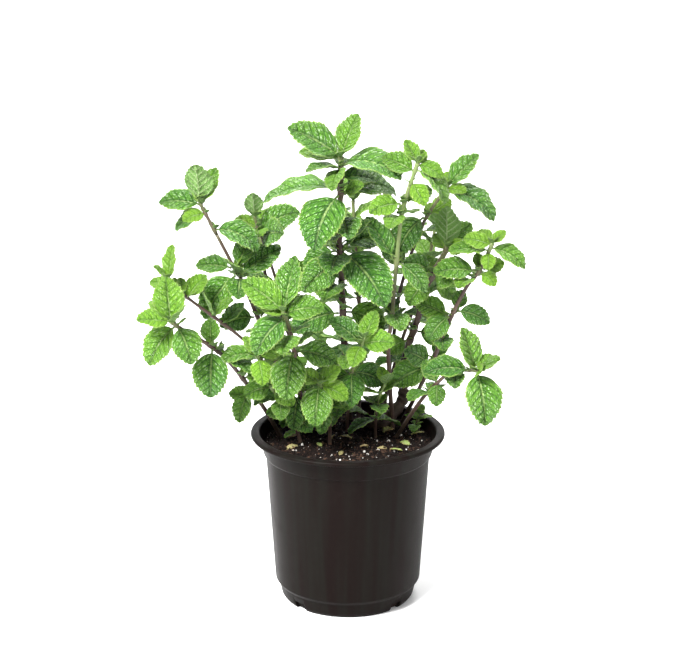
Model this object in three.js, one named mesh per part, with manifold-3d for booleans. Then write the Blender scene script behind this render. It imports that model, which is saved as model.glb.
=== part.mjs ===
// A mint plant in a round nursery pot. Millimetres, +Z up, origin on the floor at the pot's axis;
// -Y is the side that faces the front. Shoots rise from the back half of the soil and lean outwards.
import * as THREE from "three";
import { mergeVertices } from "three/addons/utils/BufferGeometryUtils.js";
import Module from "manifold-3d";

const wasm = await Module();
wasm.setup();

// ---- driving dimensions ------------------------------------------------------------------------
const GAP = 0.3; // between pieces that touch

// pot: a tapered wall, a flared band and a flat rim above it, a small foot below it
const POT_HEIGHT = 126;
const RIM_RADIUS = 70;
const RIM_WIDTH = 6.5; // of the flat top flange
const RIM_THICKNESS = 3;
const BAND_HEIGHT = 13;
const BAND_TOP_RADIUS = 64;
const BAND_BOTTOM_RADIUS = 60.8;
const WALL_TOP_RADIUS = 59.2;
const WALL_BOTTOM_RADIUS = 53;
const FOOT_HEIGHT = 14;
const FOOT_RADIUS = 50.4;
const BASE_RADIUS = 46.7;
const WALL = 1.3;
const SLOTS = 4; // drain slots in the foot
const SLOT_WIDTH = 9;
const SLOT_HEIGHT = 6;
const POT_SIDES = 32;

// potting soil
const SOIL_DROP = 8; // from the rim down to the soil's surface
const SOIL_EDGE_DROP = 1.5; // more, where it meets the pot

// plant
const SHOOT_HEIGHT = 208; // of the tallest shoot above the soil
const LEAF_LENGTH = 50; // of the longest leaf
const LEAF_THICKNESS = 0.8;
const LEAF_FOLD = 14; // degrees that each half lifts from the midrib
const PETIOLE_WIDTH = 1.6;
const PETIOLE_SHARE = 0.1; // of a leaf's length
const COLLAR_WALL = 0.9; // of the swollen node around a stem
const ROOTED = 7; // depth of a stem's foot in the soil
const SMALL_LEAF = 25; // a leaf that the plan has no longer than this has one flat facet across
const LEAF_CLEAR = 0.9; // kept free on each side of a leaf's blade
const STUB_GIRTH = 4.4;
const CROWN_GIRTH = 8.6;
const OLD_GIRTH = 2.5; // a stem thicker than this has turned brown
const TIP_LEAD = 3; // of a growing tip's own axis below its first leaf
const TIP_TAPER = 0.8; // of the stem's girth, in its growing tip
const PETIOLE_CLEAR = 3.4; // of a leaf's length next to its stem, where it may meet its neighbours
const COLLAR_LEAD = 3; // of a collar beyond its leaves
const YOUNG_SHARE = 0.25; // a shoot whose leaves start lower than this is one soft piece

// the sizes that the plan below was drawn at
const PLAN_SHOOT = 208;
const PLAN_LEAF = 50;

// ---- colours and finishes ----------------------------------------------------------------------
const finish = (name, color, roughness) => {
  const material = new THREE.MeshStandardMaterial({ color, roughness, metalness: 0 });
  material.name = name;
  return material;
};
const POT_FINISH = () => finish("pot_plastic", 0x2c2827, 0.45);
const SOIL_FINISH = () => finish("soil", 0x2a1c17, 0.95);
const WOOD_FINISH = () => finish("woody_stem", 0x4a3426, 0.8);
const STEM_FINISH = (age) => finish("stem", { old: 0x5c4433, young: 0x9aa66a }[age], 0.6);
const LEAF_FINISH = () => finish("leaf", 0x5c9a3c, 0.6);

// ---- the plan of the plant ---------------------------------------------------------------------
// way: points of a shoot's axis, from its foot, measured from the pot's axis and the soil's surface.
// A leaf is [place along the shoot 0..1, heading, rise, length, width, droop, roll]: degrees and
// millimetres; heading 0 is +X and 90 is +Y, rise is from level, droop is how far the tip bends down,
// roll turns the blade about its midrib. Each list of leaves is one piece, around one collar, and the
// first list of a shoot is its growing tip. The inner leaves belong to the same lists, and grow after
// all the others, in the room that is left.

// opposite pairs, each turned a quarter from the one below, shorter and steeper towards the tip
function decussate(first, last, pairs, heading, [longest, shortest], [lowest, steepest]) {
  return Array.from({ length: pairs * 2 }, (_, index) => {
    const pair = Math.floor(index / 2);
    const share = pair / (pairs - 1);
    const length = longest + (shortest - longest) * share;
    return [
      first + (last - first) * share,
      heading + pair * 90 + (index % 2) * 180,
      lowest + (steepest - lowest) * share,
      length,
      length * 0.62,
      45 - 35 * share,
      0,
    ];
  });
}

// opposite pairs that fill in between the others, each from [place, heading, rise, length]
function pairs(...nodes) {
  return nodes.flatMap(([place, heading, rise, length]) =>
    [0, 180].map((turn) => [place, heading + turn, rise, length, length * 0.62, 40, 0]),
  );
}

const CROWN_WAY = [[8, 38, -6], [14, 28, 3], [22, 20, 6], [32, 26, 10], [40, 34, 18], [42, 36, 27]];
const STUBS = [[[-46, 30, -4], [-48, 32, 4], [-49, 33, 9]]];

const SHOOTS = [
  {
    name: "centre",
    girth: 4,
    way: [[2, 37, 0], [-1, 30, 36], [-5, 12, 123], [-6, 7, 146], [-5, -3, 193], [-5, -6, 208]],
    leaves: [
      [
        [1, 30, 70, 32, 18, 10, 30], [0.97, 155, 25, 33, 19, 40, -30], [1, -170, 40, 43, 24, 20, -50],
        [0.9, -20, 25, 47, 27, 70, 20], [0.86, -105, 0, 27, 15, 50, 20], [0.8, 30, 5, 29, 16, 30, 30],
      ],
      [
        [0.74, -120, -15, 48, 31, 60, -10], [0.76, 175, 10, 54, 30, 45, -10],
        [0.74, 20, 30, 47, 27, 75, 30], [0.75, -35, 40, 18, 10, 10, 60],
      ],
      [
        [0.51, -45, -15, 54, 30, 45, 30], [0.57, 20, 25, 37, 21, 40, 40],
        [0.52, 165, -15, 29, 17, 50, -70], [0.57, -35, 60, 29, 16, 5, 30],
        [0.57, 130, 60, 20, 12, 5, -10], [0.43, -160, -10, 37, 22, 30, -50],
      ],
      [
        [0.32, -155, 5, 39, 22, 40, -50], [0.34, 160, 40, 28, 16, 20, -40],
        [0.33, -120, 65, 22, 13, 5, -30], [0.32, 25, -5, 35, 20, 50, 80],
      ],
    ],
    inner: [
      pairs([0.86, 70, 20, 28]),
      pairs([0.68, 100, 5, 34]),
      pairs([0.48, 80, 10, 36], [0.62, 60, 15, 30]),
      pairs([0.22, 30, 5, 28], [0.27, 110, 10, 32], [0.37, 70, 15, 34]),
    ],
  },
  {
    name: "middle",
    girth: 2.2,
    way: [[-1, 14, 0], [1, -6, 38], [2, -14, 54], [6, -22, 67], [9, -30, 80], [11, -34, 87]],
    leaves: [
      [
        [0.84, 170, 45, 29, 18, 20, -30], [0.82, -10, 25, 24, 16, 40, 60],
        [0.89, 45, 70, 24, 13, 5, 20], [0.88, 130, 45, 22, 13, 5, 0], [0.8, -110, -10, 21, 13, 40, -10],
        [0.43, -90, -25, 27, 18, 50, 0], [0.43, 25, -5, 30, 17, 40, 70],
        [0.41, 155, -15, 28, 17, 50, -70],
      ],
    ],
    inner: [pairs([0.3, 60, 0, 24], [0.62, 80, 20, 26])],
  },
  {
    name: "left_rosette",
    girth: 2.8,
    way: [[-22, 19, 0], [-27, 7, 21], [-34, -4, 35], [-38, -32, 81], [-41, -44, 99], [-44, -52, 111]],
    leaves: [
      [
        [0.9, -140, -15, 35, 21, 50, -30], [1, 170, 45, 35, 20, 20, -50], [1, 60, 80, 39, 22, 5, -10],
        [0.93, 35, 55, 16, 10, 10, 30], [0.95, -110, 60, 18, 10, 5, -30], [0.96, 10, 30, 29, 18, 40, 50],
        [0.92, 170, -10, 34, 20, 40, -30],
      ],
      [
        [0.57, -105, -35, 35, 24, 50, -10], [0.57, 165, 10, 26, 17, 30, -60],
        [0.57, 10, 0, 29, 18, 40, 60], [0.6, -45, 55, 18, 11, 10, 30],
      ],
      [
        [0.42, 10, 30, 26, 17, 20, 60], [0.41, -145, -30, 27, 17, 50, -40],
        [0.43, 165, 15, 30, 18, 30, -60],
      ],
    ],
    inner: [[], pairs([0.68, 80, 10, 30]), pairs([0.3, 70, 10, 26])],
  },
  {
    name: "left_tall",
    girth: 2.6,
    way: [[-38, 32, 0], [-44, 30, 28], [-73, 22, 106], [-81, 20, 123], [-101, 15, 165], [-105, 14, 174]],
    leaves: [
      [
        [0.9, -105, 80, 30, 20, 10, 0], [0.87, 50, 70, 29, 16, 5, 10], [0.86, 170, 40, 31, 18, 30, -40],
        [0.79, -145, 30, 19, 11, 30, -40], [0.79, 160, -10, 28, 16, 40, -40],
        [0.73, -10, 10, 37, 21, 70, 30],
      ],
      [
        [0.58, -155, 70, 28, 16, 5, -30], [0.6, 45, 65, 25, 15, 5, 30], [0.6, 165, 10, 27, 15, 20, -40],
        [0.55, 15, 35, 34, 20, 10, 40], [0.53, -140, -30, 39, 22, 40, -40],
      ],
      [
        [0.34, 20, 50, 33, 20, 20, 60], [0.34, -160, 10, 27, 18, 40, -60],
      ],
    ],
    inner: [[], pairs([0.47, 90, 5, 30]), pairs([0.2, 20, 0, 26], [0.27, 70, 10, 30])],
  },
  {
    name: "left_inner",
    girth: 2.2,
    way: [[-26, 41, 0], [-35, 41, 32], [-46, 41, 86], [-60, 40, 135], [-65, 40, 148], [-67, 40, 156]],
    leaves: [
      [
        [0.99, -110, 80, 19, 13, 5, 20], [0.66, 10, 60, 34, 20, 60, 50],
        [0.65, -20, 30, 35, 20, 30, 70], [0.81, 155, 15, 20, 12, 20, -60],
        [0.58, -80, 65, 18, 10, 5, 20],
        [0.45, -20, 50, 34, 21, 20, 80], [0.45, 160, 30, 29, 18, 40, -60],
      ],
    ],
    inner: [pairs([0.3, 140, 5, 30], [0.37, 70, 10, 30], [0.74, 90, 20, 22])],
  },
  {
    name: "far_left",
    girth: 2.2,
    way: [[-42, 23, 0], [-53, 17, 36], [-70, 10, 68], [-111, -1, 105], [-121, -4, 114], [-127, -6, 122]],
    leaves: [
      [
        [0.95, 70, 75, 26, 15, 5, -30], [0.97, -145, 50, 16, 11, 10, -30],
        [0.67, 100, 50, 13, 8, 10, 0], [0.62, 25, 50, 21, 15, 10, 30], [0.81, 150, 15, 22, 13, 20, -30],
        [0.52, -140, 45, 22, 15, 5, -30], [0.49, 25, 45, 21, 12, 10, 20],
        [0.52, 40, 45, 21, 13, 10, 30],
      ],
    ],
    inner: [pairs([0.38, 60, 20, 22], [0.74, 60, 15, 18])],
  },
  {
    name: "left_low",
    girth: 2.8,
    way: [[-49, 10, 0], [-62, -2, 28], [-81, -19, 62], [-94, -28, 78], [-116, -42, 97], [-121, -46, 102]],
    leaves: [
      [
        [1, 120, 80, 31, 21, 5, -20], [1, -155, 55, 25, 17, 10, -30], [0.94, -60, 65, 25, 14, 5, 30],
        [0.93, 160, 35, 26, 15, 20, 0], [0.83, -165, -35, 34, 20, 40, -50],
        [0.82, -45, -40, 29, 20, 40, 30],
      ],
      [
        [0.6, -95, -45, 35, 24, 50, 0], [0.56, 45, -45, 28, 16, 40, 80], [0.62, 90, 80, 19, 13, 10, 0],
      ],
      [
        [0.33, 30, 15, 18, 12, 20, 60], [0.27, -135, -45, 24, 13, 40, -30],
        [0.23, 160, 15, 20, 12, 20, -50],
      ],
    ],
    inner: [[], pairs([0.46, 120, 10, 24]), []],
  },
  {
    name: "front_left",
    girth: 2.2,
    way: [[-34, -3, 0], [-40, -9, 20], [-48, -16, 36], [-55, -21, 49], [-60, -26, 63], [-63, -30, 73]],
    leaves: [
      [
        [0.97, -160, 30, 30, 17, 80, -20], [0.98, 20, 35, 21, 15, 20, 60],
        [0.99, 135, 75, 17, 11, 10, -20], [0.95, -75, -30, 21, 15, 40, 0],
        [0.56, -160, 20, 21, 15, 40, -60], [0.54, -30, -10, 20, 13, 40, 50],
        [0.26, -155, 30, 16, 11, 30, -60], [0.24, -40, 0, 21, 15, 40, 50],
        [0.22, 15, 35, 24, 16, 30, 60],
      ],
    ],
    inner: [pairs([0.4, 70, 10, 20], [0.76, 60, 20, 18])],
  },
  {
    name: "front_low",
    girth: 2.4,
    way: [[-13, -7, 0], [-13, -15, 21], [-15, -23, 38], [-20, -30, 52]],
    leaves: [
      [
        [1, -100, -35, 31, 21, 50, -10], [0.97, -25, -5, 22, 15, 40, 40], [1, 155, 35, 18, 12, 20, -50],
        [0.99, 30, 55, 19, 13, 10, 30],
        [0.53, -115, -35, 20, 12, 40, 0], [0.52, 30, 40, 21, 13, 20, 40],
      ],
    ],
    inner: [pairs([0.76, 60, 20, 20])],
  },
  {
    name: "pale_right",
    girth: 3,
    way: [[33, 23, 0], [29, 10, 65], [31, 5, 89], [35, -9, 150], [38, -15, 176], [47, -22, 207]],
    leaves: [
      [
        [1, 155, 60, 18, 12, 5, -30], [0.99, -15, 0, 20, 12, 50, 40], [0.96, 160, 30, 25, 15, 20, -50],
        [0.97, -20, 0, 33, 19, 70, 10], [0.99, 50, 55, 14, 9, 5, 20], [0.91, -40, -35, 19, 13, 30, 30],
      ],
      [
        [0.81, -155, 10, 25, 15, 40, -50], [0.82, 25, 30, 20, 13, 20, 50],
      ],
      [
        [0.55, 150, 65, 35, 20, 5, -10], [0.54, -25, -25, 28, 16, 40, 30],
      ],
    ],
    inner: [[], pairs([0.74, 70, 10, 24]), pairs([0.42, 100, 10, 28])],
  },
  {
    name: "dark_right",
    girth: 2.6,
    way: [[26, 41, 0], [35, 34, 80], [38, 32, 104], [48, 29, 139], [56, 26, 159], [70, 24, 181]],
    leaves: [
      [
        [1, 10, 50, 32, 18, 10, 30], [0.98, -15, 0, 43, 24, 60, 20], [0.96, -135, 55, 15, 10, 5, -30],
        [0.98, 80, 70, 16, 9, 5, 0], [0.98, -55, -5, 17, 11, 30, 30],
      ],
      [
        [0.8, -150, -25, 36, 21, 50, -40], [0.82, 20, 30, 19, 13, 10, 50],
      ],
      [
        [0.49, 150, 50, 27, 17, 10, -30], [0.5, -15, 5, 27, 18, 40, 60],
      ],
    ],
    inner: [[], pairs([0.68, 100, 10, 28]), pairs([0.22, 130, 5, 30], [0.36, 60, 10, 30])],
  },
  {
    name: "right_thick",
    girth: 4.2,
    way: [[42, 35, 26], [42, 30, 54], [51, 22, 87], [54, 17, 106], [68, 10, 136], [70, 8, 142]],
    leaves: [
      [
        [0.89, -100, 85, 31, 18, 5, -10], [1, 25, 40, 26, 15, 20, 50], [0.91, -25, 40, 20, 12, 30, 60],
        [0.84, 130, 50, 16, 11, 5, -30],
      ],
      [
        [0.71, -155, 30, 24, 16, 20, -70], [0.69, -40, 40, 26, 17, 40, 80],
        [0.67, -135, -25, 25, 17, 30, -40], [0.67, 25, -30, 24, 15, 40, 80],
      ],
      [
        [0.33, -155, 45, 27, 18, 10, -30], [0.32, -25, 0, 24, 16, 30, 60],
        [0.28, -150, -5, 21, 15, 30, -50],
      ],
    ],
    inner: [[], pairs([0.56, 90, 15, 26]), pairs([0.18, 60, 20, 24])],
  },
  {
    name: "far_right",
    girth: 2.8,
    way: [[39, 32, 0], [61, 18, 53], [68, 12, 76], [83, 1, 113], [92, -4, 127], [100, -10, 148]],
    leaves: [
      [
        [0.99, -170, 25, 21, 12, 20, -60], [1, 145, 40, 19, 11, 10, -40], [1, 25, 45, 13, 9, 5, 30],
        [0.97, -10, -5, 29, 16, 50, 30], [0.95, 160, 15, 29, 16, 30, -20],
        [0.94, -95, -30, 15, 10, 30, 0],
      ],
      [
        [0.8, -170, 15, 31, 18, 30, -40], [0.81, 100, 60, 12, 8, 5, 0], [0.81, 15, 20, 16, 11, 10, 60],
        [0.79, -45, -15, 15, 10, 30, 40],
      ],
      [
        [0.5, -10, 0, 25, 14, 40, 60], [0.5, 45, 55, 16, 11, 5, 30], [0.48, 170, 30, 26, 15, 20, -60],
        [0.48, -145, -20, 24, 16, 40, -40],
      ],
      [
        [0.21, 25, 65, 21, 12, 5, 30], [0.2, -155, 40, 24, 16, 20, -80],
        [0.18, -155, 0, 30, 20, 40, -50],
      ],
    ],
    inner: [[], pairs([0.7, 60, 15, 22]), pairs([0.38, 90, 15, 24]), []],
  },
  {
    name: "low_right",
    girth: 2.4,
    way: [[35, 6, 0], [51, -12, 33], [62, -23, 50], [72, -32, 62], [83, -39, 65], [91, -44, 66]],
    leaves: [
      [
        [0.92, 160, 75, 32, 18, 10, -30], [0.99, 50, 50, 16, 11, 5, 30], [1, -15, 45, 20, 14, 20, 30],
        [0.94, -75, -35, 40, 25, 50, 0], [0.97, -75, 25, 16, 10, 20, 60],
        [0.82, -170, 20, 33, 19, 40, -30],
        [0.41, -95, -40, 17, 12, 40, 0], [0.41, 140, 55, 19, 13, 10, -30],
      ],
    ],
    inner: [pairs([0.3, 60, 15, 22], [0.62, 90, 15, 22])],
  },
  {
    name: "back_middle",
    girth: 3,
    way: [[8, 46, 0], [10, 58, 60], [6, 72, 115], [4, 76, 160]],
    leaves: [decussate(0.3, 1, 8, 20, [38, 20], [-5, 60])],
    inner: [[]],
  },
  {
    name: "back_left",
    girth: 2.8,
    way: [[-24, 46, 0], [-40, 64, 50], [-60, 84, 95], [-66, 90, 132]],
    leaves: [decussate(0.32, 1, 7, 65, [38, 20], [-5, 60])],
    inner: [[]],
  },
  {
    name: "back_right",
    girth: 2.8,
    way: [[24, 46, 0], [40, 68, 52], [58, 88, 98], [66, 94, 136]],
    leaves: [decussate(0.32, 1, 7, 110, [38, 20], [-5, 60])],
    inner: [[]],
  },
  {
    name: "low_middle",
    girth: 2,
    way: [[-10, 26, 0], [-8, 16, 18], [-6, 6, 34], [-6, -2, 48]],
    leaves: [decussate(0.27, 1, 4, 20, [26, 16], [0, 55])],
    inner: [[]],
  },
  {
    name: "low_left",
    girth: 2,
    way: [[-30, 28, 0], [-34, 20, 22], [-38, 12, 42], [-42, 6, 58]],
    leaves: [decussate(0.27, 1, 4, 65, [26, 16], [0, 55])],
    inner: [[]],
  },
  {
    name: "low_inner",
    girth: 2,
    way: [[20, 6, 0], [20, -4, 20], [22, -12, 36], [26, -18, 48]],
    leaves: [decussate(0.27, 1, 4, 20, [23, 14], [0, 55])],
    inner: [[]],
  },
  {
    name: "sprout_left",
    girth: 1.8,
    way: [[-36, 6, 0], [-36, 5, 7], [-37, 3, 13]],
    leaves: [decussate(0.3, 1, 3, 30, [12, 8], [10, 50])],
    inner: [[]],
  },
  {
    name: "sprout_right",
    girth: 1.8,
    way: [[50, 22, 0], [51, 20, 7], [53, 18, 13]],
    leaves: [decussate(0.3, 1, 3, 75, [13, 9], [5, 50])],
    inner: [[]],
  },
];

// ---- solids ------------------------------------------------------------------------------------
const radians = THREE.MathUtils.degToRad;

function toSolid(geometry) {
  const bare = new THREE.BufferGeometry();
  bare.setAttribute("position", geometry.getAttribute("position"));
  bare.setIndex(geometry.getIndex());
  const merged = mergeVertices(bare, 1e-4);
  return new wasm.Manifold(
    new wasm.Mesh({
      numProp: 3,
      vertProperties: new Float32Array(merged.getAttribute("position").array),
      triVerts: new Uint32Array(merged.getIndex().array),
    }),
  );
}

function toGeometry(solid) {
  const mesh = solid.getMesh();
  const geometry = new THREE.BufferGeometry();
  geometry.setAttribute("position", new THREE.BufferAttribute(mesh.vertProperties, 3));
  geometry.setIndex(new THREE.BufferAttribute(mesh.triVerts, 1));
  geometry.computeVertexNormals();
  return geometry;
}

function addPiece(name, solid, material) {
  const mesh = new THREE.Mesh(toGeometry(solid), material);
  mesh.name = name;
  plant.add(mesh);
}

// a closed profile of [radius, height] pairs turned about the Z axis
function turned(profile, sides) {
  const points = profile.map(([radius, height]) => new THREE.Vector2(radius, height));
  return toSolid(new THREE.LatheGeometry(points, sides).rotateX(Math.PI / 2));
}

// a square stem along a curve
function stalk(curve, width, steps) {
  const half = width / 2;
  const section = new THREE.Shape([
    new THREE.Vector2(half, -half),
    new THREE.Vector2(half, half),
    new THREE.Vector2(-half, half),
    new THREE.Vector2(-half, -half),
  ]);
  return toSolid(new THREE.ExtrudeGeometry(section, { steps, extrudePath: curve }));
}

// ---- pot ---------------------------------------------------------------------------------------
const bandBottom = POT_HEIGHT - RIM_THICKNESS - BAND_HEIGHT;
const rimUnderside = POT_HEIGHT - RIM_THICKNESS;

// the wall's outer radius at the corners of its profile, from the floor up
const POT_OUTSIDE = [
  [BASE_RADIUS, 0],
  [BASE_RADIUS + 1.8, 2.4],
  [FOOT_RADIUS, FOOT_HEIGHT - 3],
  [WALL_BOTTOM_RADIUS, FOOT_HEIGHT],
  [WALL_TOP_RADIUS, bandBottom - 1.2],
  [BAND_BOTTOM_RADIUS, bandBottom],
  [BAND_TOP_RADIUS, rimUnderside],
];
const POT_INSIDE = [
  [BASE_RADIUS, WALL],
  [FOOT_RADIUS - WALL, FOOT_HEIGHT - 3],
  [WALL_BOTTOM_RADIUS - WALL, FOOT_HEIGHT],
  [WALL_TOP_RADIUS - WALL, bandBottom - 1.2],
  [BAND_BOTTOM_RADIUS - WALL, bandBottom],
  [RIM_RADIUS - RIM_WIDTH, rimUnderside],
];

function insideRadius(height) {
  const above = POT_INSIDE.findIndex(([, z]) => z >= height);
  const [lowRadius, low] = POT_INSIDE[above - 1];
  const [highRadius, high] = POT_INSIDE[above];
  return lowRadius + ((highRadius - lowRadius) * (height - low)) / (high - low);
}

function makePot() {
  const rim = [
    [RIM_RADIUS - 0.6, rimUnderside],
    [RIM_RADIUS, rimUnderside + 0.6],
    [RIM_RADIUS, POT_HEIGHT - 1],
    [RIM_RADIUS - 1, POT_HEIGHT],
    [RIM_RADIUS - RIM_WIDTH + 0.8, POT_HEIGHT],
    [RIM_RADIUS - RIM_WIDTH, POT_HEIGHT - 0.8],
  ];
  const inside = [...POT_INSIDE].reverse();
  let pot = turned([[0, 0], ...POT_OUTSIDE, ...rim, ...inside, [0, WALL]], POT_SIDES);
  for (let index = 0; index < SLOTS; index += 1) {
    const slot = new THREE.BoxGeometry(WALL * 8, SLOT_WIDTH, SLOT_HEIGHT * 2);
    slot.translate(BASE_RADIUS, 0, 0);
    slot.rotateZ(((index + 0.5) * 2 * Math.PI) / SLOTS);
    pot = pot.subtract(toSolid(slot));
  }
  return pot;
}

// ---- soil --------------------------------------------------------------------------------------
const soilTop = POT_HEIGHT - SOIL_DROP;
const soilEdge = soilTop - SOIL_EDGE_DROP;

function makeSoil() {
  const floor = WALL + GAP;
  const sides = POT_INSIDE.filter(([, height]) => height > floor && height < soilEdge);
  const profile = [
    [0, floor],
    [insideRadius(floor) - GAP * 2, floor],
    ...sides.map(([radius, height]) => [radius - GAP * 2, height]),
    [insideRadius(soilEdge) - GAP * 2, soilEdge],
    [insideRadius(soilEdge) - 8, soilTop],
    [0, soilTop],
  ];
  return turned(profile, POT_SIDES);
}

// ---- shoots ------------------------------------------------------------------------------------
const shootScale = SHOOT_HEIGHT / PLAN_SHOOT;
const leafScale = LEAF_LENGTH / PLAN_LEAF;

// the axis of a shoot; its foot keeps its place in the pot while the rest grows with the shoot's height
function axisOf(way) {
  const [footX, footY] = way[0];
  const points = way.map(
    ([x, y, z]) =>
      new THREE.Vector3(
        footX + (x - footX) * shootScale,
        footY + (y - footY) * shootScale,
        soilTop + z * shootScale,
      ),
  );
  return new THREE.CatmullRomCurve3(points, false, "catmullrom", 0.5);
}

function stretchOf(axis, start, end, rooted = 0) {
  const count = 9;
  const points = Array.from({ length: count }, (_, index) =>
    axis.getPoint(start + ((end - start) * index) / (count - 1)),
  );
  if (rooted > 0) {
    const direction = axis.getTangent(start);
    points.unshift(points[0].clone().addScaledVector(direction, -rooted));
  }
  return new THREE.CatmullRomCurve3(points, false, "catmullrom", 0.5);
}

// ---- leaves ------------------------------------------------------------------------------------
// The midrib is an arc in the upright plane of its heading: it starts at the rise and bends down by
// the droop. Across it the blade is an ovate outline on a petiole, each half lifted by the fold.
function halfWidth(share, width) {
  const along = Math.max(0, (share - PETIOLE_SHARE) / (1 - PETIOLE_SHARE));
  const ovate = Math.sin(Math.PI * Math.pow(Math.min(along, 0.995), 0.8)) ** 0.75;
  return Math.max((width / 2) * ovate, (PETIOLE_WIDTH / 2) * (1 - 0.6 * share));
}

function leafPoint(base, leaf, share, side, lift) {
  const { heading, rise, length, width, droop, roll } = leaf;
  const bend = Math.max(radians(droop), 1e-3);
  const start = radians(rise);
  const angle = start - bend * share;
  const out = (length * (Math.sin(start) - Math.sin(angle))) / bend;
  const up = (length * (Math.cos(angle) - Math.cos(start))) / bend;
  const along = new THREE.Vector3(Math.cos(radians(heading)), Math.sin(radians(heading)), 0);
  const level = new THREE.Vector3(-along.y, along.x, 0);
  const normal = along.clone().multiplyScalar(-Math.sin(angle));
  normal.z += Math.cos(angle);
  const turn = radians(roll);
  const across = level.clone().multiplyScalar(Math.cos(turn)).addScaledVector(normal, Math.sin(turn));
  const face = normal.multiplyScalar(Math.cos(turn)).addScaledVector(level, -Math.sin(turn));
  const half = halfWidth(share, width);
  const fold = radians(LEAF_FOLD);
  return base
    .clone()
    .addScaledVector(along, out)
    .add(new THREE.Vector3(0, 0, up))
    .addScaledVector(across, side * half * Math.cos(fold))
    .addScaledVector(face, Math.abs(side) * half * Math.sin(fold) + lift);
}

// the leaf from one share of its length to the end, as a closed solid; a thicker one is the room it needs
function leafSolid(base, leaf, from, thickness) {
  const large = leaf.length > SMALL_LEAF * leafScale;
  const stations = large ? [0, 0.26, 0.62, 1] : [0, 0.45, 1];
  const geometry = new THREE.BoxGeometry(1, 1, 1, stations.length - 1, large ? 2 : 1, 1);
  const position = geometry.getAttribute("position");
  for (let index = 0; index < position.count; index += 1) {
    const station = stations[Math.round((position.getX(index) + 0.5) * (stations.length - 1))];
    const share = from + station * (1 - from);
    const side = position.getY(index) * 2;
    const point = leafPoint(base, leaf, share, side, position.getZ(index) * thickness);
    position.setXYZ(index, point.x, point.y, point.z);
  }
  return toSolid(geometry);
}

// A leaf that would touch what is already there grows past it: it turns aside, and in a tight place
// it stays smaller.
const TURNS = [
  [0, 0], [12, 0], [-12, 0], [0, 12], [0, -12], [12, 12], [-12, 12], [12, -12], [-12, -12],
  [24, 0], [-24, 0], [0, 24], [0, -24], [24, 20], [-24, 20], [24, -20], [-24, -20],
  [40, 0], [-40, 0], [0, 40], [0, -40], [40, 30], [-40, 30], [30, -40], [-30, -40],
  [60, 0], [-60, 0], [60, 30], [-60, 30], [90, 0], [-90, 0], [60, -40], [-60, -40], [180, 0],
  [120, 0], [-120, 0], [120, 30], [-120, 30], [120, -40], [-120, -40], [0, -70], [0, 60],
];
const GROWTHS = [1, 0.84, 0.68, 0.52, 0.4];
const taken = []; // every solid so far, with its box and the shoot that it belongs to

function take(solid, owner) {
  taken.push({ solid, owner, box: solid.boundingBox() });
}

// whether the room is free of every solid but those of the shoot that is left out
function isFree(room, leftOut) {
  const { min, max } = room.boundingBox();
  return taken.every(({ solid, owner, box }) => {
    if (leftOut && owner === leftOut) return true;
    const apart = [0, 1, 2].some((axis) => box.max[axis] < min[axis] || box.min[axis] > max[axis]);
    return apart || room.intersect(solid).isEmpty();
  });
}

function growLeaf(shoot, row, collar) {
  const [place, heading, rise, length, width, droop, roll] = row;
  const stem = shoot.axis.getPoint(place);
  for (const growth of GROWTHS) {
    for (const [turn, lift] of TURNS) {
      const size = growth * leafScale;
      const leaf = {
        heading: heading + turn,
        rise: Math.min(rise + lift, 88),
        length: length * size,
        width: width * size,
        droop,
        roll,
      };
      const base = stem.clone();
      base.x += collar * Math.cos(radians(leaf.heading));
      base.y += collar * Math.sin(radians(leaf.heading));
      const from = Math.min(0.4, PETIOLE_CLEAR / leaf.length);
      const room = leafSolid(base, leaf, from, LEAF_THICKNESS + LEAF_CLEAR * 2);
      const whole = leafSolid(base, leaf, 0, LEAF_THICKNESS);
      if (isFree(room) && isFree(whole, shoot.name)) {
        take(leafSolid(base, leaf, from, LEAF_THICKNESS), shoot.name);
        return whole;
      }
    }
  }
  throw new Error(`no room for the leaf ${row}`);
}

// ---- assembly ----------------------------------------------------------------------------------
const plant = new THREE.Group();

// every shoot's own axis, stem and collars, before any leaf
function prepareShoot({ name, girth, way, leaves, inner }) {
  const axis = axisOf(way);
  const length = axis.getLength();
  const places = leaves.map((list, index) => [...list, ...inner[index]].map(([place]) => place));
  const tipStart = Math.min(...places[0]) - TIP_LEAD / length;
  const reach = girth * 0.6 + GAP + COLLAR_WALL / 2;
  const shoot = { name, axis, leaves, inner, girth, reach, hubs: [] };
  if (tipStart < YOUNG_SHARE) {
    const stretch = stretchOf(axis, 0, 1, ROOTED);
    shoot.hubs.push(stalk(stretch, girth, 8));
    shoot.socket = stalk(stretch, girth + GAP * 2, 8);
    return shoot;
  }
  const stretch = stretchOf(axis, 0, tipStart - GAP / length, ROOTED);
  const steps = way.length + 4;
  shoot.stem = stalk(stretch, girth, steps);
  shoot.socket = stalk(stretch, girth + GAP * 2, steps);
  shoot.hubs.push(stalk(stretchOf(axis, tipStart, 1), girth * TIP_TAPER, 5));
  for (const list of places.slice(1)) {
    const start = Math.min(...list) - COLLAR_LEAD / length;
    const end = Math.max(...list) + COLLAR_LEAD / length;
    const ring = stretchOf(axis, start, end);
    const ringSteps = Math.ceil(ring.getLength() / 5) + 1;
    const collar = stalk(ring, girth + (GAP + COLLAR_WALL) * 2, ringSteps);
    shoot.hubs.push(collar.subtract(shoot.socket));
  }
  return shoot;
}

const shoots = SHOOTS.map(prepareShoot);
const crownStretch = stretchOf(axisOf(CROWN_WAY), 0, 1);
const stubs = STUBS.map((way) => stretchOf(axisOf(way), 0, 1));

let sockets = stalk(crownStretch, CROWN_GIRTH + GAP * 2, 9);
let crown = stalk(crownStretch, CROWN_GIRTH, 9);
for (const stub of stubs) sockets = sockets.add(stalk(stub, STUB_GIRTH + GAP * 2, 3));
for (const { socket } of shoots) {
  crown = crown.subtract(socket);
  sockets = sockets.add(socket);
}

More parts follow.
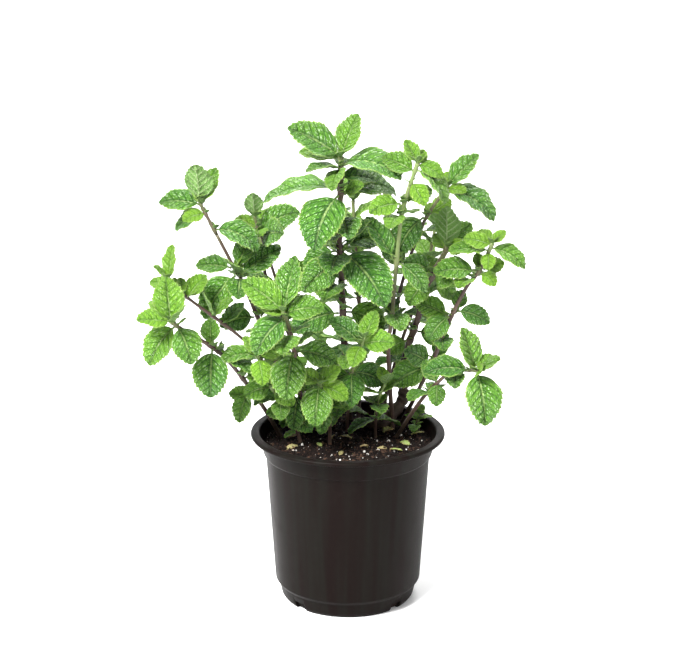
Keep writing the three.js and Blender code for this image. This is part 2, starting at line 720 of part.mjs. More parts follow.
const pot = makePot();
const soil = makeSoil();
take(pot);
take(soil);
take(crown);
for (const { name, stem, hubs } of shoots) {
  for (const solid of [stem, ...hubs]) if (solid) take(solid, name);
}

addPiece("pot", pot, POT_FINISH());
addPiece("potting_soil", soil.subtract(sockets), SOIL_FINISH());
addPiece("woody_crown", crown, WOOD_FINISH());
stubs.forEach((stub, index) => {
  addPiece(`cut_stub_${index + 1}`, stalk(stub, STUB_GIRTH, 3), WOOD_FINISH());
});

for (const kind of ["leaves", "inner"]) {
  for (const shoot of shoots) {
    shoot[kind].forEach((list, index) => {
      const out = index === 0 ? 0 : shoot.reach;
      for (const row of list) {
        shoot.hubs[index] = shoot.hubs[index].add(growLeaf(shoot, row, out));
      }
    });
  }
}

for (const { name, girth, stem, socket, hubs } of shoots) {
  if (!stem) {
    addPiece(name, hubs[0], LEAF_FINISH());
    continue;
  }
  addPiece(`${name}_stem`, stem, STEM_FINISH(girth > OLD_GIRTH ? "old" : "young"));
  hubs.forEach((hub, index) => {
    const label = index === 0 ? "tip" : `leaves_${index}`;
    addPiece(`${name}_${label}`, hub.subtract(socket), LEAF_FINISH());
  });
}

export default plant;
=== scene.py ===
"""A mint plant in a round nursery pot: fine surfaces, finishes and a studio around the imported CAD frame."""

import math

import bpy
import numpy as np
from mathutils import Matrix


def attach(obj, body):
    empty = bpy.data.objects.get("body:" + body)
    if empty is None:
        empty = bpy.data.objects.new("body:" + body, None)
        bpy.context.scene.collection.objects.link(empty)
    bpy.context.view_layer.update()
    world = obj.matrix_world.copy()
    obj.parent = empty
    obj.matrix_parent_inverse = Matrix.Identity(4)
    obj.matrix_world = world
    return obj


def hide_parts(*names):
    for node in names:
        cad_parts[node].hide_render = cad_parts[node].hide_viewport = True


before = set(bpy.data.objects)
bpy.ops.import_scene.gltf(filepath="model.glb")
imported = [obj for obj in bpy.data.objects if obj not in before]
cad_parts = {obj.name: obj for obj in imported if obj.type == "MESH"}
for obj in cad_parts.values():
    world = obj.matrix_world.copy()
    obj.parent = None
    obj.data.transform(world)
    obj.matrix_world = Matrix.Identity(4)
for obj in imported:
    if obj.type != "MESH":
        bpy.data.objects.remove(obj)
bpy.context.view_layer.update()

bl_info = {
    "name": "Potted mint",
    "version": (1, 0, 0),
    "blender": (4, 5, 0),
    "location": "View3D > Sidebar > Potted mint",
    "description": "Builds the leaves, stems, pot and potting mix of a mint plant in a nursery pot",
    "category": "Add Mesh",
}

MM = 0.001

# ---- the plan of the plant, as the CAD part has it ----------------------------------------------
# Points of a shoot's axis are in millimetres from the pot's axis and the soil's surface. A leaf is
# (place along the shoot, heading, rise, length, width, droop, roll), in degrees and millimetres.
SOIL_TOP = 118.0
POT_HEIGHT = 126.0
RIM_RADIUS = 70.0
GAP = 0.3
LEAF_FOLD = 14.0
LEAF_PLATE = 0.8  # thickness of the CAD's plain leaf
PETIOLE_WIDTH = 1.6
PETIOLE_SHARE = 0.1
COLLAR_WALL = 0.9
ROOTED = 7.0
TIP_LEAD = 3.0
YOUNG_SHARE = 0.25
CROWN_GIRTH = 8.6
STUB_GIRTH = 4.4
PALE_SHOOTS = ("middle", "pale_right", "front_low", "front_left")

TURNS = (
    (0, 0), (12, 0), (-12, 0), (0, 12), (0, -12), (12, 12), (-12, 12), (12, -12), (-12, -12),
    (24, 0), (-24, 0), (0, 24), (0, -24), (24, 20), (-24, 20), (24, -20), (-24, -20),
    (40, 0), (-40, 0), (0, 40), (0, -40), (40, 30), (-40, 30), (30, -40), (-30, -40),
    (60, 0), (-60, 0), (60, 30), (-60, 30), (90, 0), (-90, 0), (60, -40), (-60, -40), (180, 0),
    (120, 0), (-120, 0), (120, 30), (-120, 30), (120, -40), (-120, -40), (0, -70), (0, 60),
)
GROWTHS = (1, 0.84, 0.68, 0.52, 0.4)


def decussate(first, last, pairs, heading, sizes, rises):
    """Opposite pairs, each turned a quarter from the one below, shorter and steeper towards the tip."""
    rows = []
    for index in range(pairs * 2):
        pair = index // 2
        share = pair / (pairs - 1)
        length = sizes[0] + (sizes[1] - sizes[0]) * share
        rise = rises[0] + (rises[1] - rises[0]) * share
        place = first + (last - first) * share
        turn = heading + pair * 90 + (index % 2) * 180
        rows.append((place, turn, rise, length, length * 0.62, 45 - 35 * share, 0))
    return tuple(rows)


def pairs(*nodes):
    """Opposite pairs that fill in between the others, each from (place, heading, rise, length)."""
    rows = []
    for place, heading, rise, length in nodes:
        rows += [(place, heading + turn, rise, length, length * 0.62, 40, 0) for turn in (0, 180)]
    return tuple(rows)


CROWN_WAY = ((8, 38, -6), (14, 28, 3), (22, 20, 6), (32, 26, 10), (40, 34, 18), (42, 36, 27))
STUBS = (((-46, 30, -4), (-48, 32, 4), (-49, 33, 9)),)

SHOOTS = (
    (
        "centre",
        4,
        ((2, 37, 0), (-1, 30, 36), (-5, 12, 123), (-6, 7, 146), (-5, -3, 193), (-5, -6, 208)),
        (
            (
                (1, 30, 70, 32, 18, 10, 30), (0.97, 155, 25, 33, 19, 40, -30),
                (1, -170, 40, 43, 24, 20, -50), (0.9, -20, 25, 47, 27, 70, 20),
                (0.86, -105, 0, 27, 15, 50, 20), (0.8, 30, 5, 29, 16, 30, 30),
                *pairs((0.86, 70, 20, 28)),
            ),
            (
                (0.74, -120, -15, 48, 31, 60, -10), (0.76, 175, 10, 54, 30, 45, -10),
                (0.74, 20, 30, 47, 27, 75, 30), (0.75, -35, 40, 18, 10, 10, 60),
                *pairs((0.68, 100, 5, 34)),
            ),
            (
                (0.51, -45, -15, 54, 30, 45, 30), (0.57, 20, 25, 37, 21, 40, 40),
                (0.52, 165, -15, 29, 17, 50, -70), (0.57, -35, 60, 29, 16, 5, 30),
                (0.57, 130, 60, 20, 12, 5, -10), (0.43, -160, -10, 37, 22, 30, -50),
                *pairs((0.48, 80, 10, 36), (0.62, 60, 15, 30)),
            ),
            (
                (0.32, -155, 5, 39, 22, 40, -50), (0.34, 160, 40, 28, 16, 20, -40),
                (0.33, -120, 65, 22, 13, 5, -30), (0.32, 25, -5, 35, 20, 50, 80),
                *pairs((0.22, 30, 5, 28), (0.27, 110, 10, 32), (0.37, 70, 15, 34)),
            ),
        ),
    ),
    (
        "middle",
        2.2,
        ((-1, 14, 0), (1, -6, 38), (2, -14, 54), (6, -22, 67), (9, -30, 80), (11, -34, 87)),
        (
            (
                (0.84, 170, 45, 29, 18, 20, -30), (0.82, -10, 25, 24, 16, 40, 60),
                (0.89, 45, 70, 24, 13, 5, 20), (0.88, 130, 45, 22, 13, 5, 0),
                (0.8, -110, -10, 21, 13, 40, -10), (0.43, -90, -25, 27, 18, 50, 0),
                (0.43, 25, -5, 30, 17, 40, 70), (0.41, 155, -15, 28, 17, 50, -70),
                *pairs((0.3, 60, 0, 24), (0.62, 80, 20, 26)),
            ),
        ),
    ),
    (
        "left_rosette",
        2.8,
        ((-22, 19, 0), (-27, 7, 21), (-34, -4, 35), (-38, -32, 81), (-41, -44, 99), (-44, -52, 111)),
        (
            (
                (0.9, -140, -15, 35, 21, 50, -30), (1, 170, 45, 35, 20, 20, -50),
                (1, 60, 80, 39, 22, 5, -10), (0.93, 35, 55, 16, 10, 10, 30),
                (0.95, -110, 60, 18, 10, 5, -30), (0.96, 10, 30, 29, 18, 40, 50),
                (0.92, 170, -10, 34, 20, 40, -30),
            ),
            (
                (0.57, -105, -35, 35, 24, 50, -10), (0.57, 165, 10, 26, 17, 30, -60),
                (0.57, 10, 0, 29, 18, 40, 60), (0.6, -45, 55, 18, 11, 10, 30),
                *pairs((0.68, 80, 10, 30)),
            ),
            (
                (0.42, 10, 30, 26, 17, 20, 60), (0.41, -145, -30, 27, 17, 50, -40),
                (0.43, 165, 15, 30, 18, 30, -60),
                *pairs((0.3, 70, 10, 26)),
            ),
        ),
    ),
    (
        "left_tall",
        2.6,
        ((-38, 32, 0), (-44, 30, 28), (-73, 22, 106), (-81, 20, 123), (-101, 15, 165), (-105, 14, 174)),
        (
            (
                (0.9, -105, 80, 30, 20, 10, 0), (0.87, 50, 70, 29, 16, 5, 10),
                (0.86, 170, 40, 31, 18, 30, -40), (0.79, -145, 30, 19, 11, 30, -40),
                (0.79, 160, -10, 28, 16, 40, -40), (0.73, -10, 10, 37, 21, 70, 30),
            ),
            (
                (0.58, -155, 70, 28, 16, 5, -30), (0.6, 45, 65, 25, 15, 5, 30),
                (0.6, 165, 10, 27, 15, 20, -40), (0.55, 15, 35, 34, 20, 10, 40),
                (0.53, -140, -30, 39, 22, 40, -40),
                *pairs((0.47, 90, 5, 30)),
            ),
            (
                (0.34, 20, 50, 33, 20, 20, 60), (0.34, -160, 10, 27, 18, 40, -60),
                *pairs((0.2, 20, 0, 26), (0.27, 70, 10, 30)),
            ),
        ),
    ),
    (
        "left_inner",
        2.2,
        ((-26, 41, 0), (-35, 41, 32), (-46, 41, 86), (-60, 40, 135), (-65, 40, 148), (-67, 40, 156)),
        (
            (
                (0.99, -110, 80, 19, 13, 5, 20), (0.66, 10, 60, 34, 20, 60, 50),
                (0.65, -20, 30, 35, 20, 30, 70), (0.81, 155, 15, 20, 12, 20, -60),
                (0.58, -80, 65, 18, 10, 5, 20), (0.45, -20, 50, 34, 21, 20, 80),
                (0.45, 160, 30, 29, 18, 40, -60),
                *pairs((0.3, 140, 5, 30), (0.37, 70, 10, 30), (0.74, 90, 20, 22)),
            ),
        ),
    ),
    (
        "far_left",
        2.2,
        ((-42, 23, 0), (-53, 17, 36), (-70, 10, 68), (-111, -1, 105), (-121, -4, 114), (-127, -6, 122)),
        (
            (
                (0.95, 70, 75, 26, 15, 5, -30), (0.97, -145, 50, 16, 11, 10, -30),
                (0.67, 100, 50, 13, 8, 10, 0), (0.62, 25, 50, 21, 15, 10, 30),
                (0.81, 150, 15, 22, 13, 20, -30), (0.52, -140, 45, 22, 15, 5, -30),
                (0.49, 25, 45, 21, 12, 10, 20), (0.52, 40, 45, 21, 13, 10, 30),
                *pairs((0.38, 60, 20, 22), (0.74, 60, 15, 18)),
            ),
        ),
    ),
    (
        "left_low",
        2.8,
        ((-49, 10, 0), (-62, -2, 28), (-81, -19, 62), (-94, -28, 78), (-116, -42, 97), (-121, -46, 102)),
        (
            (
                (1, 120, 80, 31, 21, 5, -20), (1, -155, 55, 25, 17, 10, -30),
                (0.94, -60, 65, 25, 14, 5, 30), (0.93, 160, 35, 26, 15, 20, 0),
                (0.83, -165, -35, 34, 20, 40, -50), (0.82, -45, -40, 29, 20, 40, 30),
            ),
            (
                (0.6, -95, -45, 35, 24, 50, 0), (0.56, 45, -45, 28, 16, 40, 80),
                (0.62, 90, 80, 19, 13, 10, 0),
                *pairs((0.46, 120, 10, 24)),
            ),
            (
                (0.33, 30, 15, 18, 12, 20, 60), (0.27, -135, -45, 24, 13, 40, -30),
                (0.23, 160, 15, 20, 12, 20, -50),
            ),
        ),
    ),
    (
        "front_left",
        2.2,
        ((-34, -3, 0), (-40, -9, 20), (-48, -16, 36), (-55, -21, 49), (-60, -26, 63), (-63, -30, 73)),
        (
            (
                (0.97, -160, 30, 30, 17, 80, -20), (0.98, 20, 35, 21, 15, 20, 60),
                (0.99, 135, 75, 17, 11, 10, -20), (0.95, -75, -30, 21, 15, 40, 0),
                (0.56, -160, 20, 21, 15, 40, -60), (0.54, -30, -10, 20, 13, 40, 50),
                (0.26, -155, 30, 16, 11, 30, -60), (0.24, -40, 0, 21, 15, 40, 50),
                (0.22, 15, 35, 24, 16, 30, 60),
                *pairs((0.4, 70, 10, 20), (0.76, 60, 20, 18)),
            ),
        ),
    ),
    (
        "front_low",
        2.4,
        ((-13, -7, 0), (-13, -15, 21), (-15, -23, 38), (-20, -30, 52)),
        (
            (
                (1, -100, -35, 31, 21, 50, -10), (0.97, -25, -5, 22, 15, 40, 40),
                (1, 155, 35, 18, 12, 20, -50), (0.99, 30, 55, 19, 13, 10, 30),
                (0.53, -115, -35, 20, 12, 40, 0), (0.52, 30, 40, 21, 13, 20, 40),
                *pairs((0.76, 60, 20, 20)),
            ),
        ),
    ),
    (
        "pale_right",
        3,
        ((33, 23, 0), (29, 10, 65), (31, 5, 89), (35, -9, 150), (38, -15, 176), (47, -22, 207)),
        (
            (
                (1, 155, 60, 18, 12, 5, -30), (0.99, -15, 0, 20, 12, 50, 40),
                (0.96, 160, 30, 25, 15, 20, -50), (0.97, -20, 0, 33, 19, 70, 10),
                (0.99, 50, 55, 14, 9, 5, 20), (0.91, -40, -35, 19, 13, 30, 30),
            ),
            (
                (0.81, -155, 10, 25, 15, 40, -50), (0.82, 25, 30, 20, 13, 20, 50),
                *pairs((0.74, 70, 10, 24)),
            ),
            (
                (0.55, 150, 65, 35, 20, 5, -10), (0.54, -25, -25, 28, 16, 40, 30),
                *pairs((0.42, 100, 10, 28)),
            ),
        ),
    ),
    (
        "dark_right",
        2.6,
        ((26, 41, 0), (35, 34, 80), (38, 32, 104), (48, 29, 139), (56, 26, 159), (70, 24, 181)),
        (
            (
                (1, 10, 50, 32, 18, 10, 30), (0.98, -15, 0, 43, 24, 60, 20),
                (0.96, -135, 55, 15, 10, 5, -30), (0.98, 80, 70, 16, 9, 5, 0),
                (0.98, -55, -5, 17, 11, 30, 30),
            ),
            (
                (0.8, -150, -25, 36, 21, 50, -40), (0.82, 20, 30, 19, 13, 10, 50),
                *pairs((0.68, 100, 10, 28)),
            ),
            (
                (0.49, 150, 50, 27, 17, 10, -30), (0.5, -15, 5, 27, 18, 40, 60),
                *pairs((0.22, 130, 5, 30), (0.36, 60, 10, 30)),
            ),
        ),
    ),
    (
        "right_thick",
        4.2,
        ((42, 35, 26), (42, 30, 54), (51, 22, 87), (54, 17, 106), (68, 10, 136), (70, 8, 142)),
        (
            (
                (0.89, -100, 85, 31, 18, 5, -10), (1, 25, 40, 26, 15, 20, 50),
                (0.91, -25, 40, 20, 12, 30, 60), (0.84, 130, 50, 16, 11, 5, -30),
            ),
            (
                (0.71, -155, 30, 24, 16, 20, -70), (0.69, -40, 40, 26, 17, 40, 80),
                (0.67, -135, -25, 25, 17, 30, -40), (0.67, 25, -30, 24, 15, 40, 80),
                *pairs((0.56, 90, 15, 26)),
            ),
            (
                (0.33, -155, 45, 27, 18, 10, -30), (0.32, -25, 0, 24, 16, 30, 60),
                (0.28, -150, -5, 21, 15, 30, -50),
                *pairs((0.18, 60, 20, 24)),
            ),
        ),
    ),
    (
        "far_right",
        2.8,
        ((39, 32, 0), (61, 18, 53), (68, 12, 76), (83, 1, 113), (92, -4, 127), (100, -10, 148)),
        (
            (
                (0.99, -170, 25, 21, 12, 20, -60), (1, 145, 40, 19, 11, 10, -40),
                (1, 25, 45, 13, 9, 5, 30), (0.97, -10, -5, 29, 16, 50, 30),
                (0.95, 160, 15, 29, 16, 30, -20), (0.94, -95, -30, 15, 10, 30, 0),
            ),
            (
                (0.8, -170, 15, 31, 18, 30, -40), (0.81, 100, 60, 12, 8, 5, 0),
                (0.81, 15, 20, 16, 11, 10, 60), (0.79, -45, -15, 15, 10, 30, 40),
                *pairs((0.7, 60, 15, 22)),
            ),
            (
                (0.5, -10, 0, 25, 14, 40, 60), (0.5, 45, 55, 16, 11, 5, 30),
                (0.48, 170, 30, 26, 15, 20, -60), (0.48, -145, -20, 24, 16, 40, -40),
                *pairs((0.38, 90, 15, 24)),
            ),
            (
                (0.21, 25, 65, 21, 12, 5, 30), (0.2, -155, 40, 24, 16, 20, -80),
                (0.18, -155, 0, 30, 20, 40, -50),
            ),
        ),
    ),
    (
        "low_right",
        2.4,
        ((35, 6, 0), (51, -12, 33), (62, -23, 50), (72, -32, 62), (83, -39, 65), (91, -44, 66)),
        (
            (
                (0.92, 160, 75, 32, 18, 10, -30), (0.99, 50, 50, 16, 11, 5, 30),
                (1, -15, 45, 20, 14, 20, 30), (0.94, -75, -35, 40, 25, 50, 0),
                (0.97, -75, 25, 16, 10, 20, 60), (0.82, -170, 20, 33, 19, 40, -30),
                (0.41, -95, -40, 17, 12, 40, 0), (0.41, 140, 55, 19, 13, 10, -30),
                *pairs((0.3, 60, 15, 22), (0.62, 90, 15, 22)),
            ),
        ),
    ),
    (
        "back_middle",
        3,
        ((8, 46, 0), (10, 58, 60), (6, 72, 115), (4, 76, 160)),
        (
            decussate(0.3, 1, 8, 20, (38, 20), (-5, 60)),
        ),
    ),
    (
        "back_left",
        2.8,
        ((-24, 46, 0), (-40, 64, 50), (-60, 84, 95), (-66, 90, 132)),
        (
            decussate(0.32, 1, 7, 65, (38, 20), (-5, 60)),
        ),
    ),
    (
        "back_right",
        2.8,
        ((24, 46, 0), (40, 68, 52), (58, 88, 98), (66, 94, 136)),
        (
            decussate(0.32, 1, 7, 110, (38, 20), (-5, 60)),
        ),
    ),
    (
        "low_middle",
        2,
        ((-10, 26, 0), (-8, 16, 18), (-6, 6, 34), (-6, -2, 48)),
        (
            decussate(0.27, 1, 4, 20, (26, 16), (0, 55)),
        ),
    ),
    (
        "low_left",
        2,
        ((-30, 28, 0), (-34, 20, 22), (-38, 12, 42), (-42, 6, 58)),
        (
            decussate(0.27, 1, 4, 65, (26, 16), (0, 55)),
        ),
    ),
    (
        "low_inner",
        2,
        ((20, 6, 0), (20, -4, 20), (22, -12, 36), (26, -18, 48)),
        (
            decussate(0.27, 1, 4, 20, (23, 14), (0, 55)),
        ),
    ),
    (
        "sprout_left",
        1.8,
        ((-36, 6, 0), (-36, 5, 7), (-37, 3, 13)),
        (
            decussate(0.3, 1, 3, 30, (12, 8), (10, 50)),
        ),
    ),
    (
        "sprout_right",
        1.8,
        ((50, 22, 0), (51, 20, 7), (53, 18, 13)),
        (
            decussate(0.3, 1, 3, 75, (13, 9), (5, 50)),
        ),
    ),
)


# ---- settings -----------------------------------------------------------------------------------
def size_setting(label, text, default):
    """A length in metres."""
    return bpy.props.FloatProperty(name=label, description=text, default=default, unit="LENGTH", min=0.0)


def number_setting(label, text, default):
    """A plain number: a share of another size, a power or a strength."""
    return bpy.props.FloatProperty(name=label, description=text, default=default, min=0.0)


def count_setting(label, text, default):
    """A whole number of pieces or steps."""
    return bpy.props.IntProperty(name=label, description=text, default=default, min=1)


def colour_setting(label, text, default):
    """A linear RGB colour."""
    return bpy.props.FloatVectorProperty(
        name=label, description=text, default=default, subtype="COLOR", size=3, min=0.0, max=1.0
    )


class LeafSettings(bpy.types.PropertyGroup):
    """Sizes and greens of the leaves"""

    thickness: size_setting("Thickness", "Of the blade between its veins", 0.00038)
    tooth_pitch: size_setting("Tooth pitch", "Between two teeth of the margin", 0.0032)
    tooth_depth: size_setting("Tooth depth", "How far a tooth stands out", 0.0015)
    vein_pitch: size_setting("Vein pitch", "Between two side veins at the midrib", 0.0056)
    breadth: number_setting("Breadth", "Of the blade over the plain leaf's", 1.06)
    puff: size_setting("Puff", "How far the blade swells between its veins", 0.00130)
    wave: size_setting("Wave", "How far the margin waves up and down", 0.0008)
    mature: colour_setting("Mature green", "The upper face of a grown leaf", (0.108, 0.370, 0.024))
    young: colour_setting("Young green", "The upper face of a leaf near the tip", (0.40, 0.76, 0.045))
    # painted shade: these dark greens stand for the shade in the sunken veins
    painted_furrow_shade: colour_setting("Furrow", "The sunken veins of a grown leaf", (0.020, 0.105, 0.010))
    young_painted_furrow_shade: colour_setting("Young furrow", "The sunken veins of a young leaf", (0.150, 0.410, 0.018))
    vein: colour_setting("Midrib", "The pale midrib of the upper face", (0.50, 0.72, 0.22))
    under: colour_setting("Underside", "The paler, matt lower face", (0.20, 0.43, 0.080))


class StemSettings(bpy.types.PropertyGroup):
    """Section and bark of the stems, the rootstock and the stubs"""

    squareness: bpy.props.FloatProperty(
        name="Squareness", description="Higher is a squarer stem", default=4.0, min=2.0
    )
    node_swell: number_setting("Node swell", "How much thicker the stem is at a pair of leaves", 0.34)
    old: colour_setting("Old bark", "The foot of a shoot", (0.042, 0.026, 0.017))
    ruddy: colour_setting("Ruddy", "The purple-brown middle of a shoot", (0.056, 0.031, 0.023))
    green: colour_setting("Green", "The soft top of a shoot", (0.125, 0.180, 0.050))


class PotSettings(bpy.types.PropertyGroup):
    """The moulded pot"""

    around: count_setting("Steps around", "Faces around the pot", 144)
    slots: count_setting("Drain slots", "Openings in the foot's edge", 4)
    plastic: colour_setting("Plastic", "Black-brown recycled plastic", (0.0062, 0.0038, 0.0034))


class SoilSettings(bpy.types.PropertyGroup):
    """The potting mix and what is strewn on it"""

    crumbs: count_setting("Crumbs", "Loose crumbs on the surface", 4200)
    perlite: count_setting("Perlite", "White grains", 300)
    fibres: count_setting("Fibres", "Bark fibres and splinters", 260)
    dark: colour_setting("Peat", "Moist dark peat", (0.0050, 0.0032, 0.0027))
    light: colour_setting("Bark", "Drier reddish bits", (0.080, 0.046, 0.031))
    grain: colour_setting("Perlite colour", "Expanded glass grains", (0.72, 0.70, 0.66))


class StageSettings(bpy.types.PropertyGroup):
    """Camera, floor and lights"""

    camera_place: bpy.props.FloatVectorProperty(
        name="Camera", description="Where the camera stands", default=(-0.006, -1.225, 0.558), size=3,
        subtype="TRANSLATION", unit="LENGTH",
    )
    camera_tilt: bpy.props.FloatProperty(
        name="Tilt", description="How far the camera looks down", default=math.radians(16.45),
        subtype="ANGLE",
    )
    lens: number_setting("Lens", "Focal length, mm on 36 mm", 95.4)
    floor: colour_setting("Floor", "Plain pale floor", (0.90, 0.90, 0.90))
    key: number_setting("Key", "Power of the main soft light, W", 108.0)
    fill: number_setting("Fill", "Power of the side light, W", 11.0)
    backdrop: number_setting("Backdrop", "Power of the backdrop's light, W", 85.0)
    sky: number_setting("Sky", "Strength of the even white surround", 0.38)


# ---- curves and grids ---------------------------------------------------------------------------
def axis_points(way, places):
    """Points of the uniform Catmull-Rom curve through way, at shares 0..1 counted evenly by its points."""
    points = np.asarray(way, float) + (0.0, 0.0, SOIL_TOP)
    points = np.vstack([2 * points[0] - points[1], points, 2 * points[-1] - points[-2]])
    spans = len(points) - 3
    along = np.clip(np.asarray(places, float), 0.0, 1.0) * spans
    index = np.minimum(along.astype(int), spans - 1)
    t = (along - index)[:, None]
    p0, p1, p2, p3 = (points[index + k] for k in range(4))
    return 0.5 * (
        2 * p1 + (p2 - p0) * t + (2 * p0 - 5 * p1 + 4 * p2 - p3) * t**2 + (3 * p1 - p0 - 3 * p2 + p3) * t**3
    )


def axis_length(way):
    """The curve's length, summed over short straight steps."""
    points = axis_points(way, np.linspace(0, 1, 201))
    return float(np.linalg.norm(np.diff(points, axis=0), axis=1).sum())


def unit(vectors):
    """Each vector over its own length."""
    return vectors / np.maximum(np.linalg.norm(vectors, axis=-1, keepdims=True), 1e-12)


def grid_faces(rows, columns, wrap=False, first=0):
    """Quads of a grid of rows by columns; with wrap the last column meets the first."""
    spans = columns if wrap else columns - 1
    i, j = np.meshgrid(np.arange(rows - 1), np.arange(spans), indexing="ij")
    k = (j + 1) % columns
    corners = (i * columns + j, (i + 1) * columns + j, (i + 1) * columns + k, i * columns + k)
    return np.stack(corners, -1).reshape(-1, 4) + first


def ripple(x, y, seed, shortest, longest, waves=14):
    """A smooth random height, about -1..1: added plane waves of seeded directions, lengths, phases."""
    rng = np.random.default_rng(seed)
    length = rng.uniform(shortest, longest, waves)
    turn = rng.uniform(0, 2 * np.pi, waves)
    phase = rng.uniform(0, 2 * np.pi, waves)
    total = np.zeros_like(x, dtype=float)
    for k in range(waves):
        total += np.sin(2 * np.pi * (x * np.cos(turn[k]) + y * np.sin(turn[k])) / length[k] + phase[k])
    return total / math.sqrt(waves)


class Patches:
    """Gathers grids of points, their quads and triangles, and named values at the points, for one mesh."""

    def __init__(self):
        """Nothing gathered yet."""
        self.points, self.faces, self.skins, self.values, self.count = [], [], [], {}, 0

    def add(self, points, *groups, skin=0, **values):
        """Points with their groups of faces, which all get one of the mesh's materials."""
        points = points.reshape(-1, 3)
        self.points.append(points)
        for faces in groups:
            self.faces.append(faces + self.count)
            self.skins.append(np.full(len(faces), skin))
        self.count += len(points)
        for key, value in values.items():
            full = np.broadcast_to(np.asarray(value, float), (len(points), 3))
            self.values.setdefault(key, []).append(full)

    def build(self, name, *materials, smooth=True):
        """Writes the gathered surfaces, in metres, into one mesh object."""
        points = np.concatenate(self.points) * MM
        mesh = bpy.data.meshes.new(name)
        mesh.vertices.add(len(points))
        mesh.vertices.foreach_set("co", points.ravel())
        sizes = np.concatenate([np.full(len(f), f.shape[1]) for f in self.faces])
        corners = np.concatenate([f.ravel() for f in self.faces])
        mesh.loops.add(len(corners))
        mesh.loops.foreach_set("vertex_index", corners.astype(np.int32))
        mesh.polygons.add(len(sizes))
        starts = np.concatenate([[0], np.cumsum(sizes)[:-1]])
        mesh.polygons.foreach_set("loop_start", starts.astype(np.int32))
        mesh.polygons.foreach_set("use_smooth", np.full(len(sizes), smooth))
        mesh.polygons.foreach_set("material_index", np.concatenate(self.skins).astype(np.int32))
        for key, value in self.values.items():
            layer = mesh.attributes.new(key, "FLOAT_VECTOR", "POINT")
            layer.data.foreach_set("vector", np.concatenate(value).astype(np.float32).ravel())
        for material in materials:
            mesh.materials.append(material)
        mesh.update(calc_edges=True)
        piece = bpy.data.objects.new(name, mesh)
        bpy.context.scene.collection.objects.link(piece)
        return piece


def place(piece, slot, *nodes):
    """The piece rides with the pot and stands for the CAD nodes, which it hides; the slot is not used."""
    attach(piece, "root")
    if nodes:
        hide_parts(*nodes)
    return piece


# ---- materials ----------------------------------------------------------------------------------
class Shader:
    """A small helper that makes nodes and joins them."""

    def __init__(self, name):
        """A new material with its principled surface."""
        self.material = bpy.data.materials.new(name)
        self.material.use_nodes = True
        self.tree = self.material.node_tree
        self.surface = self.tree.nodes["Principled BSDF"]

    def node(self, kind, inputs=None, **options):
        """A node with its options set and its inputs joined or filled."""
        node = self.tree.nodes.new(kind)
        for key, value in options.items():
            setattr(node, key, value)
        for key, value in (inputs or {}).items():
            self.put(node.inputs[key], value)
        return node

    def fade(self, share, *step):
        """A share of a smooth step, for the factor of a mix."""
        return self.math("MULTIPLY", self.ramp(*step), share)

    def put(self, socket, value):
        """Joins another node to the socket, or fills it with a value."""
        if isinstance(value, bpy.types.NodeSocket):
            self.tree.links.new(value, socket)
        elif isinstance(value, (tuple, list)) and len(value) == 3 and socket.type == "RGBA":
            socket.default_value = (*value, 1.0)
        else:
            socket.default_value = value

    def math(self, operation, a, b=0.0, c=0.0, clamp=False):
        """One sum of up to three values."""
        node = self.node("ShaderNodeMath", operation=operation, use_clamp=clamp)
        for socket, value in zip(node.inputs, (a, b, c)):
            self.put(socket, value)
        return node.outputs[0]

    def mix(self, factor, a, b, blend="MIX"):
        """Colour a turning into b as the factor grows."""
        node = self.node("ShaderNodeMix", data_type="RGBA", blend_type=blend)
        self.put(node.inputs["Factor"], factor)
        self.put(node.inputs[6], a)
        self.put(node.inputs[7], b)
        return node.outputs[2]

    def ramp(self, value, low, high, to_low=0.0, to_high=1.0):
        """A smooth step from to_low at low to to_high at high."""
        node = self.node("ShaderNodeMapRange", interpolation_type="SMOOTHSTEP")
        for socket, part in zip(node.inputs, (value, low, high, to_low, to_high)):
            self.put(socket, part)
        return node.outputs[0]

    def noise(self, vector, scale, detail=3.0, roughness=0.55):
        """Cloudy noise, 0..1, with scale cells to a unit."""
        node = self.node("ShaderNodeTexNoise", {"Scale": scale, "Detail": detail, "Roughness": roughness})
        self.put(node.inputs["Vector"], vector)
        return node.outputs["Fac"]

    def attribute(self, name):
        """A vector kept at the points of the mesh."""
        return self.node("ShaderNodeAttribute", attribute_name=name).outputs["Vector"]

    def split(self, vector):
        """The three parts of a vector."""
        node = self.node("ShaderNodeSeparateXYZ")
        self.put(node.inputs[0], vector)
        return node.outputs

    def join(self, x, y, z=0.0):
        """A vector from its parts."""
        node = self.node("ShaderNodeCombineXYZ")
        for socket, value in zip(node.inputs, (x, y, z)):
            self.put(socket, value)
        return node.outputs[0]

    def bump(self, height, distance, strength=1.0):
        """Fine relief on the surface: distance is in metres for a height of 1."""
        node = self.node("ShaderNodeBump", {"Strength": strength, "Distance": distance})
        self.put(node.inputs["Height"], height)
        self.put(self.surface.inputs["Normal"], node.outputs[0])
        return node.outputs[0]

    def object_place(self):
        """The place on the piece, in metres."""
        return self.node("ShaderNodeTexCoord").outputs["Object"]

    def set(self, **values):
        """Fills sockets of the surface, named with _ for a space, and gives the material."""
        for key, value in values.items():
            self.put(self.surface.inputs[key.replace("_", " ")], value)
        return self.material


# painted highlight: the whitish glint colour on the leaf's cell tops
LEAF_PAINTED_GLINT = (0.76, 0.90, 0.62)
# painted highlight: the pale line along a leaf's margin
LEAF_PAINTED_EDGE_HIGHLIGHT = (0.50, 0.70, 0.16)
UNDER_NET = (0.34, 0.52, 0.18)
UNDER_VEIN = (0.42, 0.60, 0.24)
LEAF_STALK = (0.30, 0.44, 0.13)
LEAF_GLOW = (0.36, 0.60, 0.02)
GLOW_SHARE = 0.24


